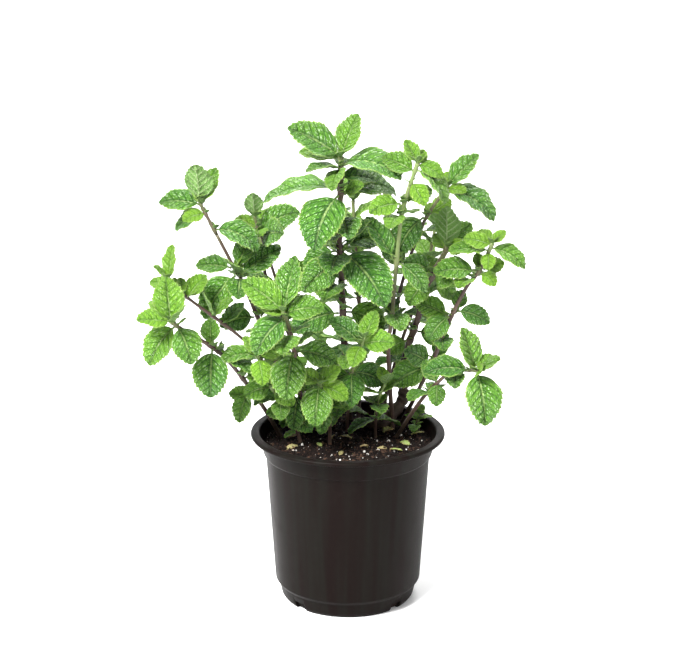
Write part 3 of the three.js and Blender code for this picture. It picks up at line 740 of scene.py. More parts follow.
def leaf_material(settings):
    """Painted highlights on the glossy cells and the margin, painted shade in the sunken veins and net, a
    pale midrib; paler and matt below.

    The attribute blade holds (vein phase, across -1..1, along 0..1), tone holds (youth, chance, underside).
    """
    shader = Shader("mint_leaf_skin")
    phase, across, along = shader.split(shader.attribute("blade"))
    youth, chance, under = shader.split(shader.attribute("tone"))
    side = shader.math("ABSOLUTE", across)
    edge = shader.math("ABSOLUTE", shader.math("SUBTRACT", shader.math("FRACT", phase), 0.5))
    side_vein = shader.math("MULTIPLY", shader.ramp(edge, 0.34, 0.46), shader.ramp(side, 1.0, 0.6, 0.3, 1.0))
    midrib = shader.ramp(side, 0.075, 0.03)
    lengthwise, crosswise = shader.math("MULTIPLY", phase, 2.3), shader.math("MULTIPLY", across, 5.0)
    net_place = shader.join(lengthwise, crosswise, shader.math("MULTIPLY", chance, 37.0))
    net = shader.node("ShaderNodeTexVoronoi", {"Scale": 1.0, "Randomness": 0.85}, feature="DISTANCE_TO_EDGE")
    shader.put(net.inputs["Vector"], net_place)
    cell = shader.ramp(net.outputs["Distance"], 0.0, 0.30)
    fine = shader.node("ShaderNodeTexVoronoi", {"Scale": 3.1, "Randomness": 0.9}, feature="DISTANCE_TO_EDGE")
    shader.put(fine.inputs["Vector"], net_place)
    fine_cell = shader.ramp(fine.outputs["Distance"], 0.0, 0.22)
    blotch = shader.noise(shader.object_place(), 55.0, 3.0)
    spread = shader.math("MULTIPLY", shader.math("SUBTRACT", chance, 0.45), 0.7)
    freshness = shader.math("ADD", youth, spread, clamp=True)
    green = shader.mix(freshness, tuple(settings.mature), tuple(settings.young))
    fresher = shader.mix(0.5, green, tuple(settings.young))
    green = shader.mix(shader.ramp(blotch, 0.30, 0.72, 0.0, 0.55), green, fresher)
    # painted shade for the sunken veins, the net and the groove by the midrib
    painted_furrow_shade = shader.mix(freshness, tuple(settings.painted_furrow_shade), tuple(settings.young_painted_furrow_shade))
    # painted highlight: whitish glints on the cell tops, stronger on grown leaves
    crest = shader.math("MULTIPLY", shader.ramp(cell, 0.35, 1.0), shader.ramp(fine_cell, 0.1, 0.9))
    painted_glint = shader.math("MULTIPLY", crest, shader.ramp(freshness, 0.0, 1.0, 0.70, 0.34))
    green = shader.mix(painted_glint, green, LEAF_PAINTED_GLINT)
    # painted shade in the sunken net lines and side-vein grooves
    green = shader.mix(shader.fade(0.60, cell, 0.40, 0.0), green, painted_furrow_shade)
    green = shader.mix(shader.math("MULTIPLY", side_vein, 0.85), green, painted_furrow_shade)
    # painted highlight: a pale line along the margin
    upper = shader.mix(shader.ramp(side, 0.90, 1.0, 0.0, 0.8), green, LEAF_PAINTED_EDGE_HIGHLIGHT)
    # painted shade in the sunken groove beside the midrib
    upper = shader.mix(shader.fade(0.7, side, 0.20, 0.09), upper, painted_furrow_shade)
    pale_line = shader.math("MULTIPLY", midrib, shader.ramp(along, 1.0, 0.3, 0.15, 0.85))
    upper = shader.mix(pale_line, upper, tuple(settings.vein))
    lower = shader.mix(shader.fade(0.5, cell, 0.4, 0.0), tuple(settings.under), UNDER_NET)
    lower = shader.mix(shader.math("MAXIMUM", side_vein, midrib), lower, UNDER_VEIN)
    stalk = shader.ramp(along, 0.14, 0.04)
    colour = shader.mix(under, upper, lower)
    colour = shader.mix(shader.math("MULTIPLY", stalk, 0.8), colour, LEAF_STALK)
    rough = shader.math("ADD", shader.ramp(cell, 0.0, 1.0, 0.50, 0.24), shader.math("MULTIPLY", under, 0.3))
    relief = shader.math("ADD", shader.math("MULTIPLY", cell, 0.8), shader.math("MULTIPLY", fine_cell, 0.25))
    bump = shader.bump(relief, 0.0026, 1.0)
    glow = shader.node("ShaderNodeBsdfTranslucent")
    shader.put(glow.inputs["Color"], shader.mix(0.5, colour, LEAF_GLOW))
    shader.put(glow.inputs["Normal"], bump)
    blend = shader.node("ShaderNodeMixShader", {"Fac": GLOW_SHARE})
    shader.put(blend.inputs[1], shader.surface.outputs[0])
    shader.put(blend.inputs[2], glow.outputs[0])
    shader.put(shader.tree.nodes["Material Output"].inputs["Surface"], blend.outputs[0])
    return shader.set(Base_Color=colour, Roughness=rough, Specular_IOR_Level=0.62)


# painted highlight: the pale lengthwise streaks on the stems
STEM_PAINTED_HIGHLIGHT = (0.20, 0.17, 0.09)
STEM_DARK = (0.035, 0.022, 0.015)


def stem_material(settings):
    """Brown at the foot, ruddy in the middle and green at the top, with dark lengthwise streaks and pale ones
    that are a painted highlight.

    The attribute bark holds (share of the height, pale or not, 0).
    """
    shader = Shader("mint_stem_bark")
    height, pale, _ = shader.split(shader.attribute("bark"))
    spot = shader.object_place()
    stretched = shader.node("ShaderNodeMapping", {"Scale": (240.0, 240.0, 26.0)})
    shader.put(stretched.inputs["Vector"], spot)
    streak = shader.noise(stretched.outputs[0], 1.0, 4.0)
    patch = shader.noise(spot, 70.0, 3.0)
    mixed = shader.math("ADD", height, shader.math("MULTIPLY", shader.math("SUBTRACT", patch, 0.5), 0.5))
    mixed = shader.math("ADD", mixed, shader.math("MULTIPLY", pale, 0.42))
    colour = shader.mix(shader.ramp(mixed, 0.08, 0.35), tuple(settings.old), tuple(settings.ruddy))
    colour = shader.mix(shader.ramp(mixed, 0.62, 1.20), colour, tuple(settings.green))
    # painted highlight: pale lengthwise streaks
    colour = shader.mix(shader.fade(0.25, streak, 0.45, 0.75), colour, STEM_PAINTED_HIGHLIGHT)
    colour = shader.mix(shader.fade(0.4, streak, 0.45, 0.25), colour, STEM_DARK)
    rough = shader.ramp(streak, 0.3, 0.7, 0.46, 0.66)
    shader.bump(streak, 0.0004, 0.7)
    return shader.set(Base_Color=colour, Roughness=rough, Specular_IOR_Level=0.45)


WOOD_FISSURE = (0.030, 0.019, 0.013)
WOOD_SCAR = (0.16, 0.10, 0.06)


def wood_material(settings):
    """Old brown rootstock with lengthwise fissures and scars."""
    shader = Shader("rootstock_bark")
    spot = shader.object_place()
    stretched = shader.node("ShaderNodeMapping", {"Scale": (120.0, 120.0, 300.0)})
    shader.put(stretched.inputs["Vector"], spot)
    crack = shader.noise(stretched.outputs[0], 1.0, 6.0, 0.65)
    patch = shader.noise(spot, 110.0, 4.0)
    colour = shader.mix(shader.ramp(crack, 0.35, 0.7), WOOD_FISSURE, tuple(settings.old))
    colour = shader.mix(shader.fade(0.55, patch, 0.5, 0.8), colour, WOOD_SCAR)
    shader.bump(crack, 0.0009, 1.0)
    rough = shader.ramp(crack, 0.3, 0.7, 0.85, 0.6)
    return shader.set(Base_Color=colour, Roughness=rough, Specular_IOR_Level=0.35)


# painted reflection: the lighter upright bands on the pot
POT_PAINTED_REFLECTION = (0.0074, 0.0068, 0.0056)
POT_DUST = (0.020, 0.016, 0.014)


def pot_material(settings):
    """Black-brown moulded plastic: a faint satin grain, upright bands of painted reflection and a dusting of
    scuffs.
    """
    shader = Shader("nursery_pot_plastic")
    spot = shader.object_place()
    x, y, z = shader.split(spot)
    turn = shader.math("ARCTAN2", y, x)
    upright = shader.join(shader.math("MULTIPLY", turn, 7.0), shader.math("MULTIPLY", z, 5.0))
    # upright bands for the painted reflection, which also vary the roughness
    reflection_bands = shader.noise(upright, 1.0, 2.0)
    grain = shader.noise(spot, 2300.0, 2.0)
    scuff = shader.noise(spot, 42.0, 6.0, 0.7)
    # painted reflection: lighter upright bands on the plastic
    colour = shader.mix(shader.ramp(reflection_bands, 0.35, 0.7), tuple(settings.plastic), POT_PAINTED_REFLECTION)
    colour = shader.mix(shader.fade(0.25, scuff, 0.60, 0.85), colour, POT_DUST)
    worn = shader.ramp(scuff, 0.5, 0.8, 0.0, 0.12)
    rough = shader.math("ADD", shader.ramp(reflection_bands, 0.3, 0.7, 0.36, 0.43), worn)
    shader.bump(grain, 0.00008, 0.6)
    return shader.set(Base_Color=colour, Roughness=rough, IOR=1.30, Specular_IOR_Level=0.06)


PEAT_BROWN = (0.014, 0.008, 0.006)
PEAT_SPECK = (0.10, 0.062, 0.042)


def soil_material(settings):
    """Moist peat: dark crumbs with drier reddish ones; the attribute crumb is (chance, lightness, 0)."""
    shader = Shader("potting_mix_peat")
    spot = shader.object_place()
    _, light, _ = shader.split(shader.attribute("crumb"))
    coarse = shader.noise(spot, 420.0, 5.0, 0.7)
    fine = shader.noise(spot, 1900.0, 4.0, 0.7)
    colour = shader.mix(shader.ramp(coarse, 0.35, 0.72), tuple(settings.dark), PEAT_BROWN)
    colour = shader.mix(light, colour, tuple(settings.light))
    colour = shader.mix(shader.fade(0.35, fine, 0.60, 0.8), colour, PEAT_SPECK)
    shader.bump(shader.math("ADD", coarse, fine), 0.0011, 1.0)
    rough = shader.ramp(fine, 0.3, 0.7, 0.95, 0.72)
    return shader.set(Base_Color=colour, Roughness=rough, Specular_IOR_Level=0.12)


GRAIN_STAIN = (0.34, 0.27, 0.20)
GRAIN_PIT = (0.30, 0.26, 0.22)


def grain_material(settings):
    """Perlite: off-white, chalky, pitted, some grains stained by the peat."""
    shader = Shader("perlite_grain")
    spot = shader.object_place()
    stain = shader.noise(spot, 260.0, 3.0)
    pit = shader.noise(spot, 2600.0, 3.0)
    colour = shader.mix(shader.ramp(stain, 0.45, 0.75), tuple(settings.grain), GRAIN_STAIN)
    colour = shader.mix(shader.fade(0.5, pit, 0.55, 0.35), colour, GRAIN_PIT)
    shader.bump(pit, 0.0004, 0.8)
    rough = shader.ramp(pit, 0.3, 0.7, 0.9, 0.75)
    return shader.set(Base_Color=colour, Roughness=rough, Specular_IOR_Level=0.4)


# ---- leaves -------------------------------------------------------------------------------------
def leaf_frame(leaf, along):
    """The midrib's points and, at each, the directions along, across and out of the upper face.

    The midrib is an arc in the upright plane of its heading: its slope falls evenly from the rise by the
    droop. Across and face are turned about it by the roll.
    """
    heading, rise, bend, roll = (math.radians(leaf[key]) for key in ("heading", "rise", "droop", "roll"))
    bend = max(bend, 1e-3)
    angle = rise - bend * along
    out = leaf["length"] * (math.sin(rise) - np.sin(angle)) / bend
    up = leaf["length"] * (np.cos(angle) - math.cos(rise)) / bend
    ahead = np.array([math.cos(heading), math.sin(heading), 0.0])
    level = np.array([-ahead[1], ahead[0], 0.0])
    upright = np.array([0.0, 0.0, 1.0])
    midrib = leaf["base"] + out[..., None] * ahead + up[..., None] * upright
    normal = -np.sin(angle)[..., None] * ahead + np.cos(angle)[..., None] * upright
    tangent = np.cos(angle)[..., None] * ahead + np.sin(angle)[..., None] * upright
    across = math.cos(roll) * level + math.sin(roll) * normal
    face = math.cos(roll) * normal - math.sin(roll) * level
    return midrib, tangent, across, face


def half_width(along, width):
    """Half the ovate outline: sin(pi t^0.8)^0.75 of the blade's share t, never under the petiole's."""
    blade = np.clip((along - PETIOLE_SHARE) / (1 - PETIOLE_SHARE), 0, 0.995)
    ovate = np.sin(np.pi * blade**0.8) ** 0.75
    return np.maximum(width / 2 * ovate, PETIOLE_WIDTH / 2 * (1 - 0.6 * along))


def plate_corner(leaf):
    """The corner that a CAD leaf's plain plate has at its tip, on its left and on its upper face."""
    one = np.array([1.0])
    midrib, _, across, face = leaf_frame(leaf, one)
    half = half_width(one, leaf["width"])[0]
    fold = math.radians(LEAF_FOLD)
    return (midrib + across * half * math.cos(fold) + face * (half * math.sin(fold) + LEAF_PLATE / 2))[0]


def grown_leaf(row, way, reach, corners):
    """The leaf of a plan's row as the CAD grew it: the turn and size whose tip corner the node has."""
    place_on, heading, rise, length, width, droop, roll = row
    stem = axis_points(way, [place_on])[0]
    best = (1e9, None)
    for growth in GROWTHS:
        for turn, lift in TURNS:
            leaf = dict(heading=heading + turn, rise=min(rise + lift, 88), length=length * growth)
            leaf.update(width=width * growth, droop=droop, roll=roll)
            angle = math.radians(leaf["heading"])
            leaf["base"] = stem + reach * np.array([math.cos(angle), math.sin(angle), 0.0])
            miss = np.linalg.norm(corners - plate_corner(leaf), axis=1).min()
            if miss < best[0]:
                best = (miss, leaf)
            if miss < 0.02:
                return leaf
    if best[0] > 0.2:
        raise RuntimeError(f"the frame holds no leaf for {row}: the nearest corner is {best[0]:.2f} mm off")
    return best[1]


def leaf_grid(length, settings):
    """Shares along and across the grid of a leaf, closer on a long leaf, and how many teeth it has."""
    pitch = settings.tooth_pitch / MM * (0.55 + 0.45 * min(length / 45.0, 1.0))
    teeth = max(4, int(round(length * (1 - PETIOLE_SHARE) / pitch)))
    steps = 4 if length > 14 else 3
    blade = np.linspace(0, 1, teeth * steps + 1)
    stalk = np.linspace(0, PETIOLE_SHARE, 4)[:-1]
    along = np.concatenate([stalk, PETIOLE_SHARE + (1 - PETIOLE_SHARE) * blade])
    if length > 24:
        right = np.array([0.0, 0.045, 0.12, 0.22, 0.34, 0.46, 0.58, 0.70, 0.81, 0.91, 1.0])
    elif length > 12:
        right = np.array([0.0, 0.08, 0.25, 0.45, 0.65, 0.84, 1.0])
    else:
        right = np.array([0.0, 0.3, 0.7, 1.0])
    s, q = np.meshgrid(along, np.concatenate([-right[:0:-1], right]), indexing="ij")
    return s, q, teeth


def shell_faces(rows, columns):
    """Quads of a thin closed shell: a grid, the same grid below it turned over, and a strip round both."""
    below = rows * columns
    index = np.arange(below).reshape(rows, columns)
    ring = np.concatenate([index[:-1, 0], index[-1, :-1], index[:0:-1, -1], index[0, :0:-1]])
    after = np.roll(ring, -1)
    edge = np.stack([ring, after, after + below, ring + below], -1)
    top = grid_faces(rows, columns)
    bottom = grid_faces(rows, columns, first=below)[:, ::-1]
    return np.concatenate([top, bottom, edge[:, ::-1]])


def add_leaf(patches, leaf, youth, settings, rng):
    """One leaf as a thin closed shell on a grid of along by across.

    Outline: the ovate half width, with forward saw teeth that grow over each tooth pitch and drop back.
    Face: the halves rise by the fold and curl over. Between side veins the blade swells as |sin|^0.7,
    broken by a second |sin| across; a vein's phase is the distance along the midrib less 0.6 of the
    distance from it and a share of its square, over the vein pitch. The lower face is the same surface,
    moved down by the thickness.
    """
    length, width = leaf["length"], leaf["width"] * settings.breadth
    s, q, teeth = leaf_grid(length, settings)
    t = np.clip((s - PETIOLE_SHARE) / (1 - PETIOLE_SHARE), 0, 1)
    side = np.abs(q)
    scale = min(1.0, length / 40.0)
    half = half_width(s, width)
    saw = np.mod(t * teeth - 1e-6, 1.0)
    presence = np.clip(t * 9, 0, 1) * np.clip((1 - t) * 14, 0, 1) * np.clip((side - 0.8) / 0.2, 0, 1)
    depth = settings.tooth_depth / MM * (0.45 + 0.55 * scale)
    half_out = half + depth * (saw**0.8 - 0.35) * presence
    ahead = depth * 0.75 * saw * presence
    midrib, tangent, sideways, face = leaf_frame(leaf, s)
    y = side * half
    vein_pitch = settings.vein_pitch / MM * (0.35 + 0.65 * scale)
    phase = (t * length * 0.9 - 0.6 * y - 0.022 * y * y) / vein_pitch + np.where(q < 0, 0.37, 0.0) + 0.15
    swell = np.abs(np.sin(np.pi * phase)) ** 0.7
    cells = np.abs(np.sin(np.pi * (y / (2.9 * (0.4 + 0.6 * scale)) + 0.5 * np.floor(phase)))) ** 0.6
    full = np.clip(t * 8, 0, 1) * np.clip((1 - t) * 10, 0, 1)
    puff = settings.puff / MM * scale
    to_margin = np.clip((1.02 - side) / 0.25, 0.12, 1)
    height = puff * (swell * (0.55 + 0.45 * cells) - 0.35) * full * to_margin
    height -= 0.8 * puff * np.exp(-((y / (0.9 * (0.5 + 0.5 * scale))) ** 2)) * full
    waves = rng.uniform(2.0, 3.2)
    sway = np.sin(2 * np.pi * (waves * t + rng.uniform())) * side**3 * full * np.sign(q + 1e-9)
    height += settings.wave / MM * scale * sway
    fold = math.radians(LEAF_FOLD)
    lift = half * math.sin(fold) * (1.45 * side - 0.55 * side**2.5)
    thick = settings.thickness / MM
    thick = thick + (1.1 - thick) * np.clip(1 - s / PETIOLE_SHARE, 0, 1)
    thick = thick + 0.5 * np.exp(-((y / 0.55) ** 2)) * (1 - t) * scale
    surface = (
        midrib
        + sideways * (np.sign(q) * side * half_out * math.cos(fold))[..., None]
        + tangent * ahead[..., None]
        + face * (lift + height)[..., None]
    )
    upper = surface + face * 0.15
    lower = surface + face * (0.15 - thick)[..., None]
    chance = rng.uniform()
    blade_value = np.stack([phase, q, s], -1).reshape(-1, 3)
    tone_upper = np.broadcast_to([youth, chance, 0.0], blade_value.shape)
    tone_lower = np.broadcast_to([youth, chance, 1.0], blade_value.shape)
    patches.add(
        np.concatenate([upper.reshape(-1, 3), lower.reshape(-1, 3)]),
        shell_faces(*s.shape),
        blade=np.concatenate([blade_value, blade_value]),
        tone=np.concatenate([tone_upper, tone_lower]),
        bark=(0, 0, 0),
    )


# ---- stems --------------------------------------------------------------------------------------
def end_caps(rows, sides):
    """Triangles that close a tube's first and last ring on two middle points kept after the rings."""
    ids = np.arange(sides)
    last = (rows - 1) * sides
    low = np.stack([np.full(sides, rows * sides), np.roll(ids, -1), ids], -1)
    high = np.stack([np.full(sides, rows * sides + 1), last + ids, last + np.roll(ids, -1)], -1)
    return np.concatenate([low, high])


def sweep(points, radii, squareness, sides=16):
    """A closed tube: across each point of the path a rounded square, r / (|cos|^n + |sin|^n)^(1/n)."""
    tangent = unit(np.gradient(points, axis=0))
    chord = np.abs(points[-1] - points[0])
    reference = np.eye(3)[int(np.argmin(chord))]
    first = unit(np.cross(tangent, reference))
    second = np.cross(tangent, first)
    turn = np.linspace(0, 2 * np.pi, sides, endpoint=False)
    cos, sin = np.cos(turn), np.sin(turn)
    square = 1.0 / (np.abs(cos) ** squareness + np.abs(sin) ** squareness) ** (1 / squareness)
    ring = radii[:, None, None] * square[None, :, None] * (
        first[:, None, :] * cos[None, :, None] + second[:, None, :] * sin[None, :, None]
    )
    body = points[:, None, :] + ring
    ends = np.stack([points[0], points[-1]])
    rows = len(points)
    faces = grid_faces(rows, sides, wrap=True)[:, ::-1]
    return np.concatenate([body.reshape(-1, 3), ends]), faces, end_caps(rows, sides)


def add_stalk(patches, way, start, end, girth, nodes, settings, pale, rooted=0.0, skin=0):
    """A stretch of a shoot's axis as a rounded square tube that thins upwards and swells at each node."""
    length = axis_length(way)
    count = max(8, int(length * (end - start) / 1.6))
    places = np.linspace(start, end, count)
    points = axis_points(way, places)
    if rooted:
        down = points[0] - unit(points[1] - points[0]) * rooted * np.linspace(1, 0.2, 4)[:, None]
        points = np.vstack([down, points])
        places = np.concatenate([np.full(4, start), places])
    swell = np.zeros_like(places)
    for node in nodes:
        swell = np.maximum(swell, np.exp(-(((places - node) * length / 1.7) ** 2)))
    radii = girth / 2 * (1.1 - 0.28 * places) * (1 + settings.node_swell * swell)
    tube, quads, caps = sweep(points, radii, settings.squareness)
    value = np.repeat(np.stack([places, np.full_like(places, pale), places * 0], -1), 16, axis=0)
    value = np.vstack([value, value[:1], value[-1:]])
    patches.add(tube, quads, caps, skin=skin, bark=value, blade=(0, 0, 0), tone=(0, 0, 0))


# ---- pot, soil and what lies on it --------------------------------------------------------------
def rounded(profile, radius, steps=4):
    """A profile whose corners are cut by quadratic arcs that start the radius away from each corner."""
    points = np.asarray(profile, float)
    out = [points[:1]]
    for before, corner, after in zip(points[:-2], points[1:-1], points[2:]):
        reach_in = min(radius, np.linalg.norm(before - corner) * 0.45)
        reach_out = min(radius, np.linalg.norm(after - corner) * 0.45)
        start = corner + unit(before - corner) * reach_in
        end = corner + unit(after - corner) * reach_out
        t = np.linspace(0, 1, steps)[:, None]
        out.append((1 - t) ** 2 * start + 2 * t * (1 - t) * corner + t**2 * end)
    out.append(points[-1:])
    return np.concatenate(out)


def revolve(profile, around):
    """A solid of revolution: a profile of (radius, height) from the axis back to it, turned about Z."""
    turn = np.linspace(0, 2 * np.pi, around, endpoint=False)
    radius, height = profile[1:-1, 0], profile[1:-1, 1]
    upright = np.repeat(height[:, None], around, 1)
    body = np.stack([radius[:, None] * np.cos(turn), radius[:, None] * np.sin(turn), upright], -1)
    rows = len(radius)
    ends = np.array([[0, 0, profile[0, 1]], [0, 0, profile[-1, 1]]])
    faces = grid_faces(rows, around, wrap=True)[:, ::-1]
    return np.concatenate([body.reshape(-1, 3), ends]), faces, end_caps(rows, around)


BASE_RADIUS, FOOT_RADIUS, FOOT_HEIGHT = 46.7, 50.4, 14.0
WALL_BOTTOM, WALL_TOP, WALL = 53.0, 59.2, 1.3
BAND_BOTTOM, BAND_TOP, BAND_HEIGHT = 60.8, 64.0, 13.0
RIM_THICKNESS, RIM_WIDTH = 3.0, 6.5
RIM_LOW = POT_HEIGHT - RIM_THICKNESS
BAND_LOW = RIM_LOW - BAND_HEIGHT
MOUTH = RIM_RADIUS - RIM_WIDTH
POT_OUTSIDE = (
    (0, 0), (BASE_RADIUS, 0), (48.5, 2.4), (FOOT_RADIUS, FOOT_HEIGHT - 3), (WALL_BOTTOM, FOOT_HEIGHT),
    (WALL_TOP, BAND_LOW - 1.2), (BAND_BOTTOM, BAND_LOW), (BAND_TOP, RIM_LOW), (RIM_RADIUS - 0.6, RIM_LOW),
    (RIM_RADIUS, RIM_LOW + 0.6), (RIM_RADIUS, POT_HEIGHT - 1), (RIM_RADIUS - 1, POT_HEIGHT),
    (MOUTH + 0.8, POT_HEIGHT), (MOUTH, POT_HEIGHT - 0.8),
)
POT_INSIDE = (
    (MOUTH, RIM_LOW), (BAND_BOTTOM - WALL, BAND_LOW), (WALL_TOP - WALL, BAND_LOW - 1.2),
    (WALL_BOTTOM - WALL, FOOT_HEIGHT), (FOOT_RADIUS - WALL, FOOT_HEIGHT - 3), (BASE_RADIUS, WALL), (0, WALL),
)
SLOT_WIDTH, SLOT_HEIGHT = 9.0, 6.0


def make_pot(settings):
    """The moulded pot: its rounded profile turned about Z, less the drain slots in the foot's edge."""
    patches = Patches()
    profile = rounded(POT_OUTSIDE + POT_INSIDE, 0.9)
    patches.add(*revolve(profile, settings.around))
    pot = patches.build("nursery_pot_shell", pot_material(settings))
    cutter = Patches()
    box_faces = np.array([
        [0, 1, 3, 2], [4, 6, 7, 5], [0, 4, 5, 1], [2, 3, 7, 6], [0, 2, 6, 4], [1, 5, 7, 3],
    ])
    corners = np.stack(np.meshgrid([-5.0, 5.0], [-0.5, 0.5], [-1.0, 1.0], indexing="ij"), -1).reshape(-1, 3)
    for index in range(settings.slots):
        turn = (index + 0.5) * 2 * np.pi / settings.slots
        box = corners * (1, SLOT_WIDTH, SLOT_HEIGHT) + (BASE_RADIUS, 0, 0)
        x, y, z = box.T
        box = np.stack([x * np.cos(turn) - y * np.sin(turn), x * np.sin(turn) + y * np.cos(turn), z], -1)
        cutter.add(box, box_faces)
    slots = cutter.build("slot_cutter", pot.data.materials[0], smooth=False)
    cut = pot.modifiers.new("drain_slots", "BOOLEAN")
    cut.operation, cut.solver, cut.object = "DIFFERENCE", "EXACT", slots
    bpy.context.view_layer.update()
    evaluated = pot.evaluated_get(bpy.context.evaluated_depsgraph_get())
    whole = bpy.data.meshes.new_from_object(evaluated)
    pot.modifiers.clear()
    pot.data = whole
    bpy.data.objects.remove(slots)
    return place(pot, "pot_plastic", "pot")


def soil_height(x, y):
    """The soil's surface: level, lower at the edge, with lumps, and a low mound round the stems."""
    radius = np.hypot(x, y)
    edge = -2.2 * np.clip((radius - 50) / 12, 0, 1) ** 2
    lumps = 0.9 * ripple(x, y, 3, 14, 40) + 0.45 * ripple(x, y, 4, 4, 9)
    mound = 2.2 * np.exp(-(((x - 5) / 42) ** 2) - (((y - 34) / 22) ** 2))
    return SOIL_TOP + edge + lumps * 0.8 + mound - 0.6


SOIL_RADIUS = 61.2
SOIL_SIDE = ((0, 1.7), (46.1, 1.7), (48.5, 11), (51.1, 14), (57.3, 108.4), (58.8, BAND_LOW))


def make_soil(settings):
    """The potting mix: a turned body whose flat top takes the soil's height, with crumbs and fibres."""
    around, rings = 220, 60
    surface = np.stack([np.linspace(SOIL_RADIUS, 0, rings), np.full(rings, SOIL_TOP)], -1)
    points, quads, caps = revolve(np.vstack([SOIL_SIDE, surface]), around)
    x, y, z = points.T
    z = np.where(z > BAND_LOW, soil_height(x, y), z)
    patches = Patches()
    patches.add(np.stack([x, y, z], -1), quads, caps, crumb=(0.3, 0.0, 0.0))
    rng = np.random.default_rng(11)
    add_crumbs(patches, rng, settings.crumbs, 0.5, 2.3, 0.20)
    add_fibres(patches, rng, settings.fibres)
    piece = patches.build("potting_mix_crumbs", soil_material(settings), smooth=False)
    return place(piece, "potting_mix", "potting_soil")


def icosahedron():
    """Corners and faces of the regular 20-faced ball of radius 1."""
    golden = (1 + 5**0.5) / 2
    base = np.array([[-1, golden, 0], [1, golden, 0], [-1, -golden, 0], [1, -golden, 0]], float)
    points = np.vstack([base, np.roll(base, 1, axis=1), np.roll(base, 2, axis=1)]) / math.hypot(1, golden)
    faces = [
        (0, 11, 5), (0, 5, 1), (0, 1, 7), (0, 7, 10), (0, 10, 11), (1, 5, 9), (5, 11, 4), (11, 10, 2),
        (10, 7, 6), (7, 1, 8), (3, 9, 4), (3, 4, 2), (3, 2, 6), (3, 6, 8), (3, 8, 9), (4, 9, 5),
        (2, 4, 11), (6, 2, 10), (8, 6, 7), (9, 8, 1),
    ]
    return points, np.array(faces)


def convex_faces(points, faces):
    """The faces turned so that each points away from the middle."""
    a, b, c = points[faces[:, 0]], points[faces[:, 1]], points[faces[:, 2]]
    inward = np.einsum("ij,ij->i", np.cross(b - a, c - a), a + b + c) < 0
    return np.where(inward[:, None], faces[:, ::-1], faces)


def scatter(rng, count, reach=60.0):
    """Places spread evenly over a disc."""
    turn = rng.uniform(0, 2 * np.pi, count)
    radius = reach * np.sqrt(rng.uniform(0, 1, count))
    return radius * np.cos(turn), radius * np.sin(turn)


def add_crumbs(patches, rng, count, smallest, largest, light):
    """Lumps: 20-faced balls, each stretched at random, spread evenly over the surface and half sunk."""
    ball, faces = icosahedron()
    faces = convex_faces(ball, faces)
    x, y = scatter(rng, count)
    size = smallest * (largest / smallest) ** (rng.uniform(0, 1, count) ** 2.6)
    stretch = rng.uniform(0.6, 1.15, (count, 1, 3)) * size[:, None, None] / 2
    uneven = rng.uniform(0.72, 1.18, (count, len(ball), 1))
    z = soil_height(x, y) + size * rng.uniform(0.0, 0.42, count)
    points = ball[None] * stretch * uneven * 1.5 + np.stack([x, y, z], -1)[:, None, :]
    many = (faces[None] + (np.arange(count) * len(ball))[:, None, None]).reshape(-1, 3)
    chance = rng.uniform(0, 1, count)
    dry = (rng.uniform(0, 1, count) < light) * rng.uniform(0.4, 1, count)
    tone = np.stack([chance, dry, size * 0], -1)
    patches.add(points, many, crumb=np.repeat(tone, len(ball), axis=0))


def add_fibres(patches, rng, count):
    """Splinters: thin six-cornered slivers lying flat at random turns."""
    x, y = scatter(rng, count, 58.0)
    turn = rng.uniform(0, np.pi, count)
    length = rng.uniform(2.0, 8.0, count)
    width = rng.uniform(0.25, 0.9, count)
    ring = np.array([[-0.5, 0, 0], [0.5, 0, 0], [0, 0.5, 0], [0, -0.5, 0], [0, 0, 0.5], [0, 0, -0.5]])
    faces = convex_faces(ring, np.array([
        (0, 2, 4), (2, 1, 4), (1, 3, 4), (3, 0, 4), (2, 0, 5), (1, 2, 5), (3, 1, 5), (0, 3, 5),
    ]))
    local = ring[None] * np.stack([length, width, width * 0.7], -1)[:, None, :]
    cos, sin = np.cos(turn)[:, None], np.sin(turn)[:, None]
    wx = local[..., 0] * cos - local[..., 1] * sin + x[:, None]
    wy = local[..., 0] * sin + local[..., 1] * cos + y[:, None]
    tilt = rng.uniform(-0.25, 0.25, count)[:, None]
    wz = local[..., 2] + (soil_height(x, y) + 0.5)[:, None] + local[..., 0] * tilt
    many = (faces[None] + (np.arange(count) * 6)[:, None, None]).reshape(-1, 3)
    tone = np.stack([rng.uniform(0, 1, count), rng.uniform(0.5, 1, count), length * 0], -1)
    patches.add(np.stack([wx, wy, wz], -1), many, crumb=np.repeat(tone, 6, axis=0))


LITTER = (
    (9, -19, 20, 6), (14, -17, 150, 5), (30, -23, -20, 9), (21, -20, 10, 7), (3, 4, 160, 12),
    (26, 11, 60, 13), (-36, -14, 200, 9), (-12, -1, 80, 8), (38, -7, -40, 8), (-30, 13, 120, 9),
    (-43, 4, 35, 7), (46, 8, 15, 10), (-4, -24, 250, 5), (-22, -8, 300, 6),
)


def make_perlite(settings):
    """White expanded grains strewn on the soil."""
    patches = Patches()
    rng = np.random.default_rng(23)
    add_crumbs(patches, rng, settings.perlite, 0.3, 1.9, 0.0)
    return place(patches.build("perlite_grains", grain_material(settings), smooth=False), "potting_mix")


LITTER_STRAW = (0.19, 0.14, 0.065)
LITTER_GREEN = (0.15, 0.24, 0.045)
LITTER_ROT = (0.13, 0.075, 0.035)
LITTER_EDGE = (0.20, 0.12, 0.05)
LITTER_VEIN = (0.42, 0.40, 0.20)


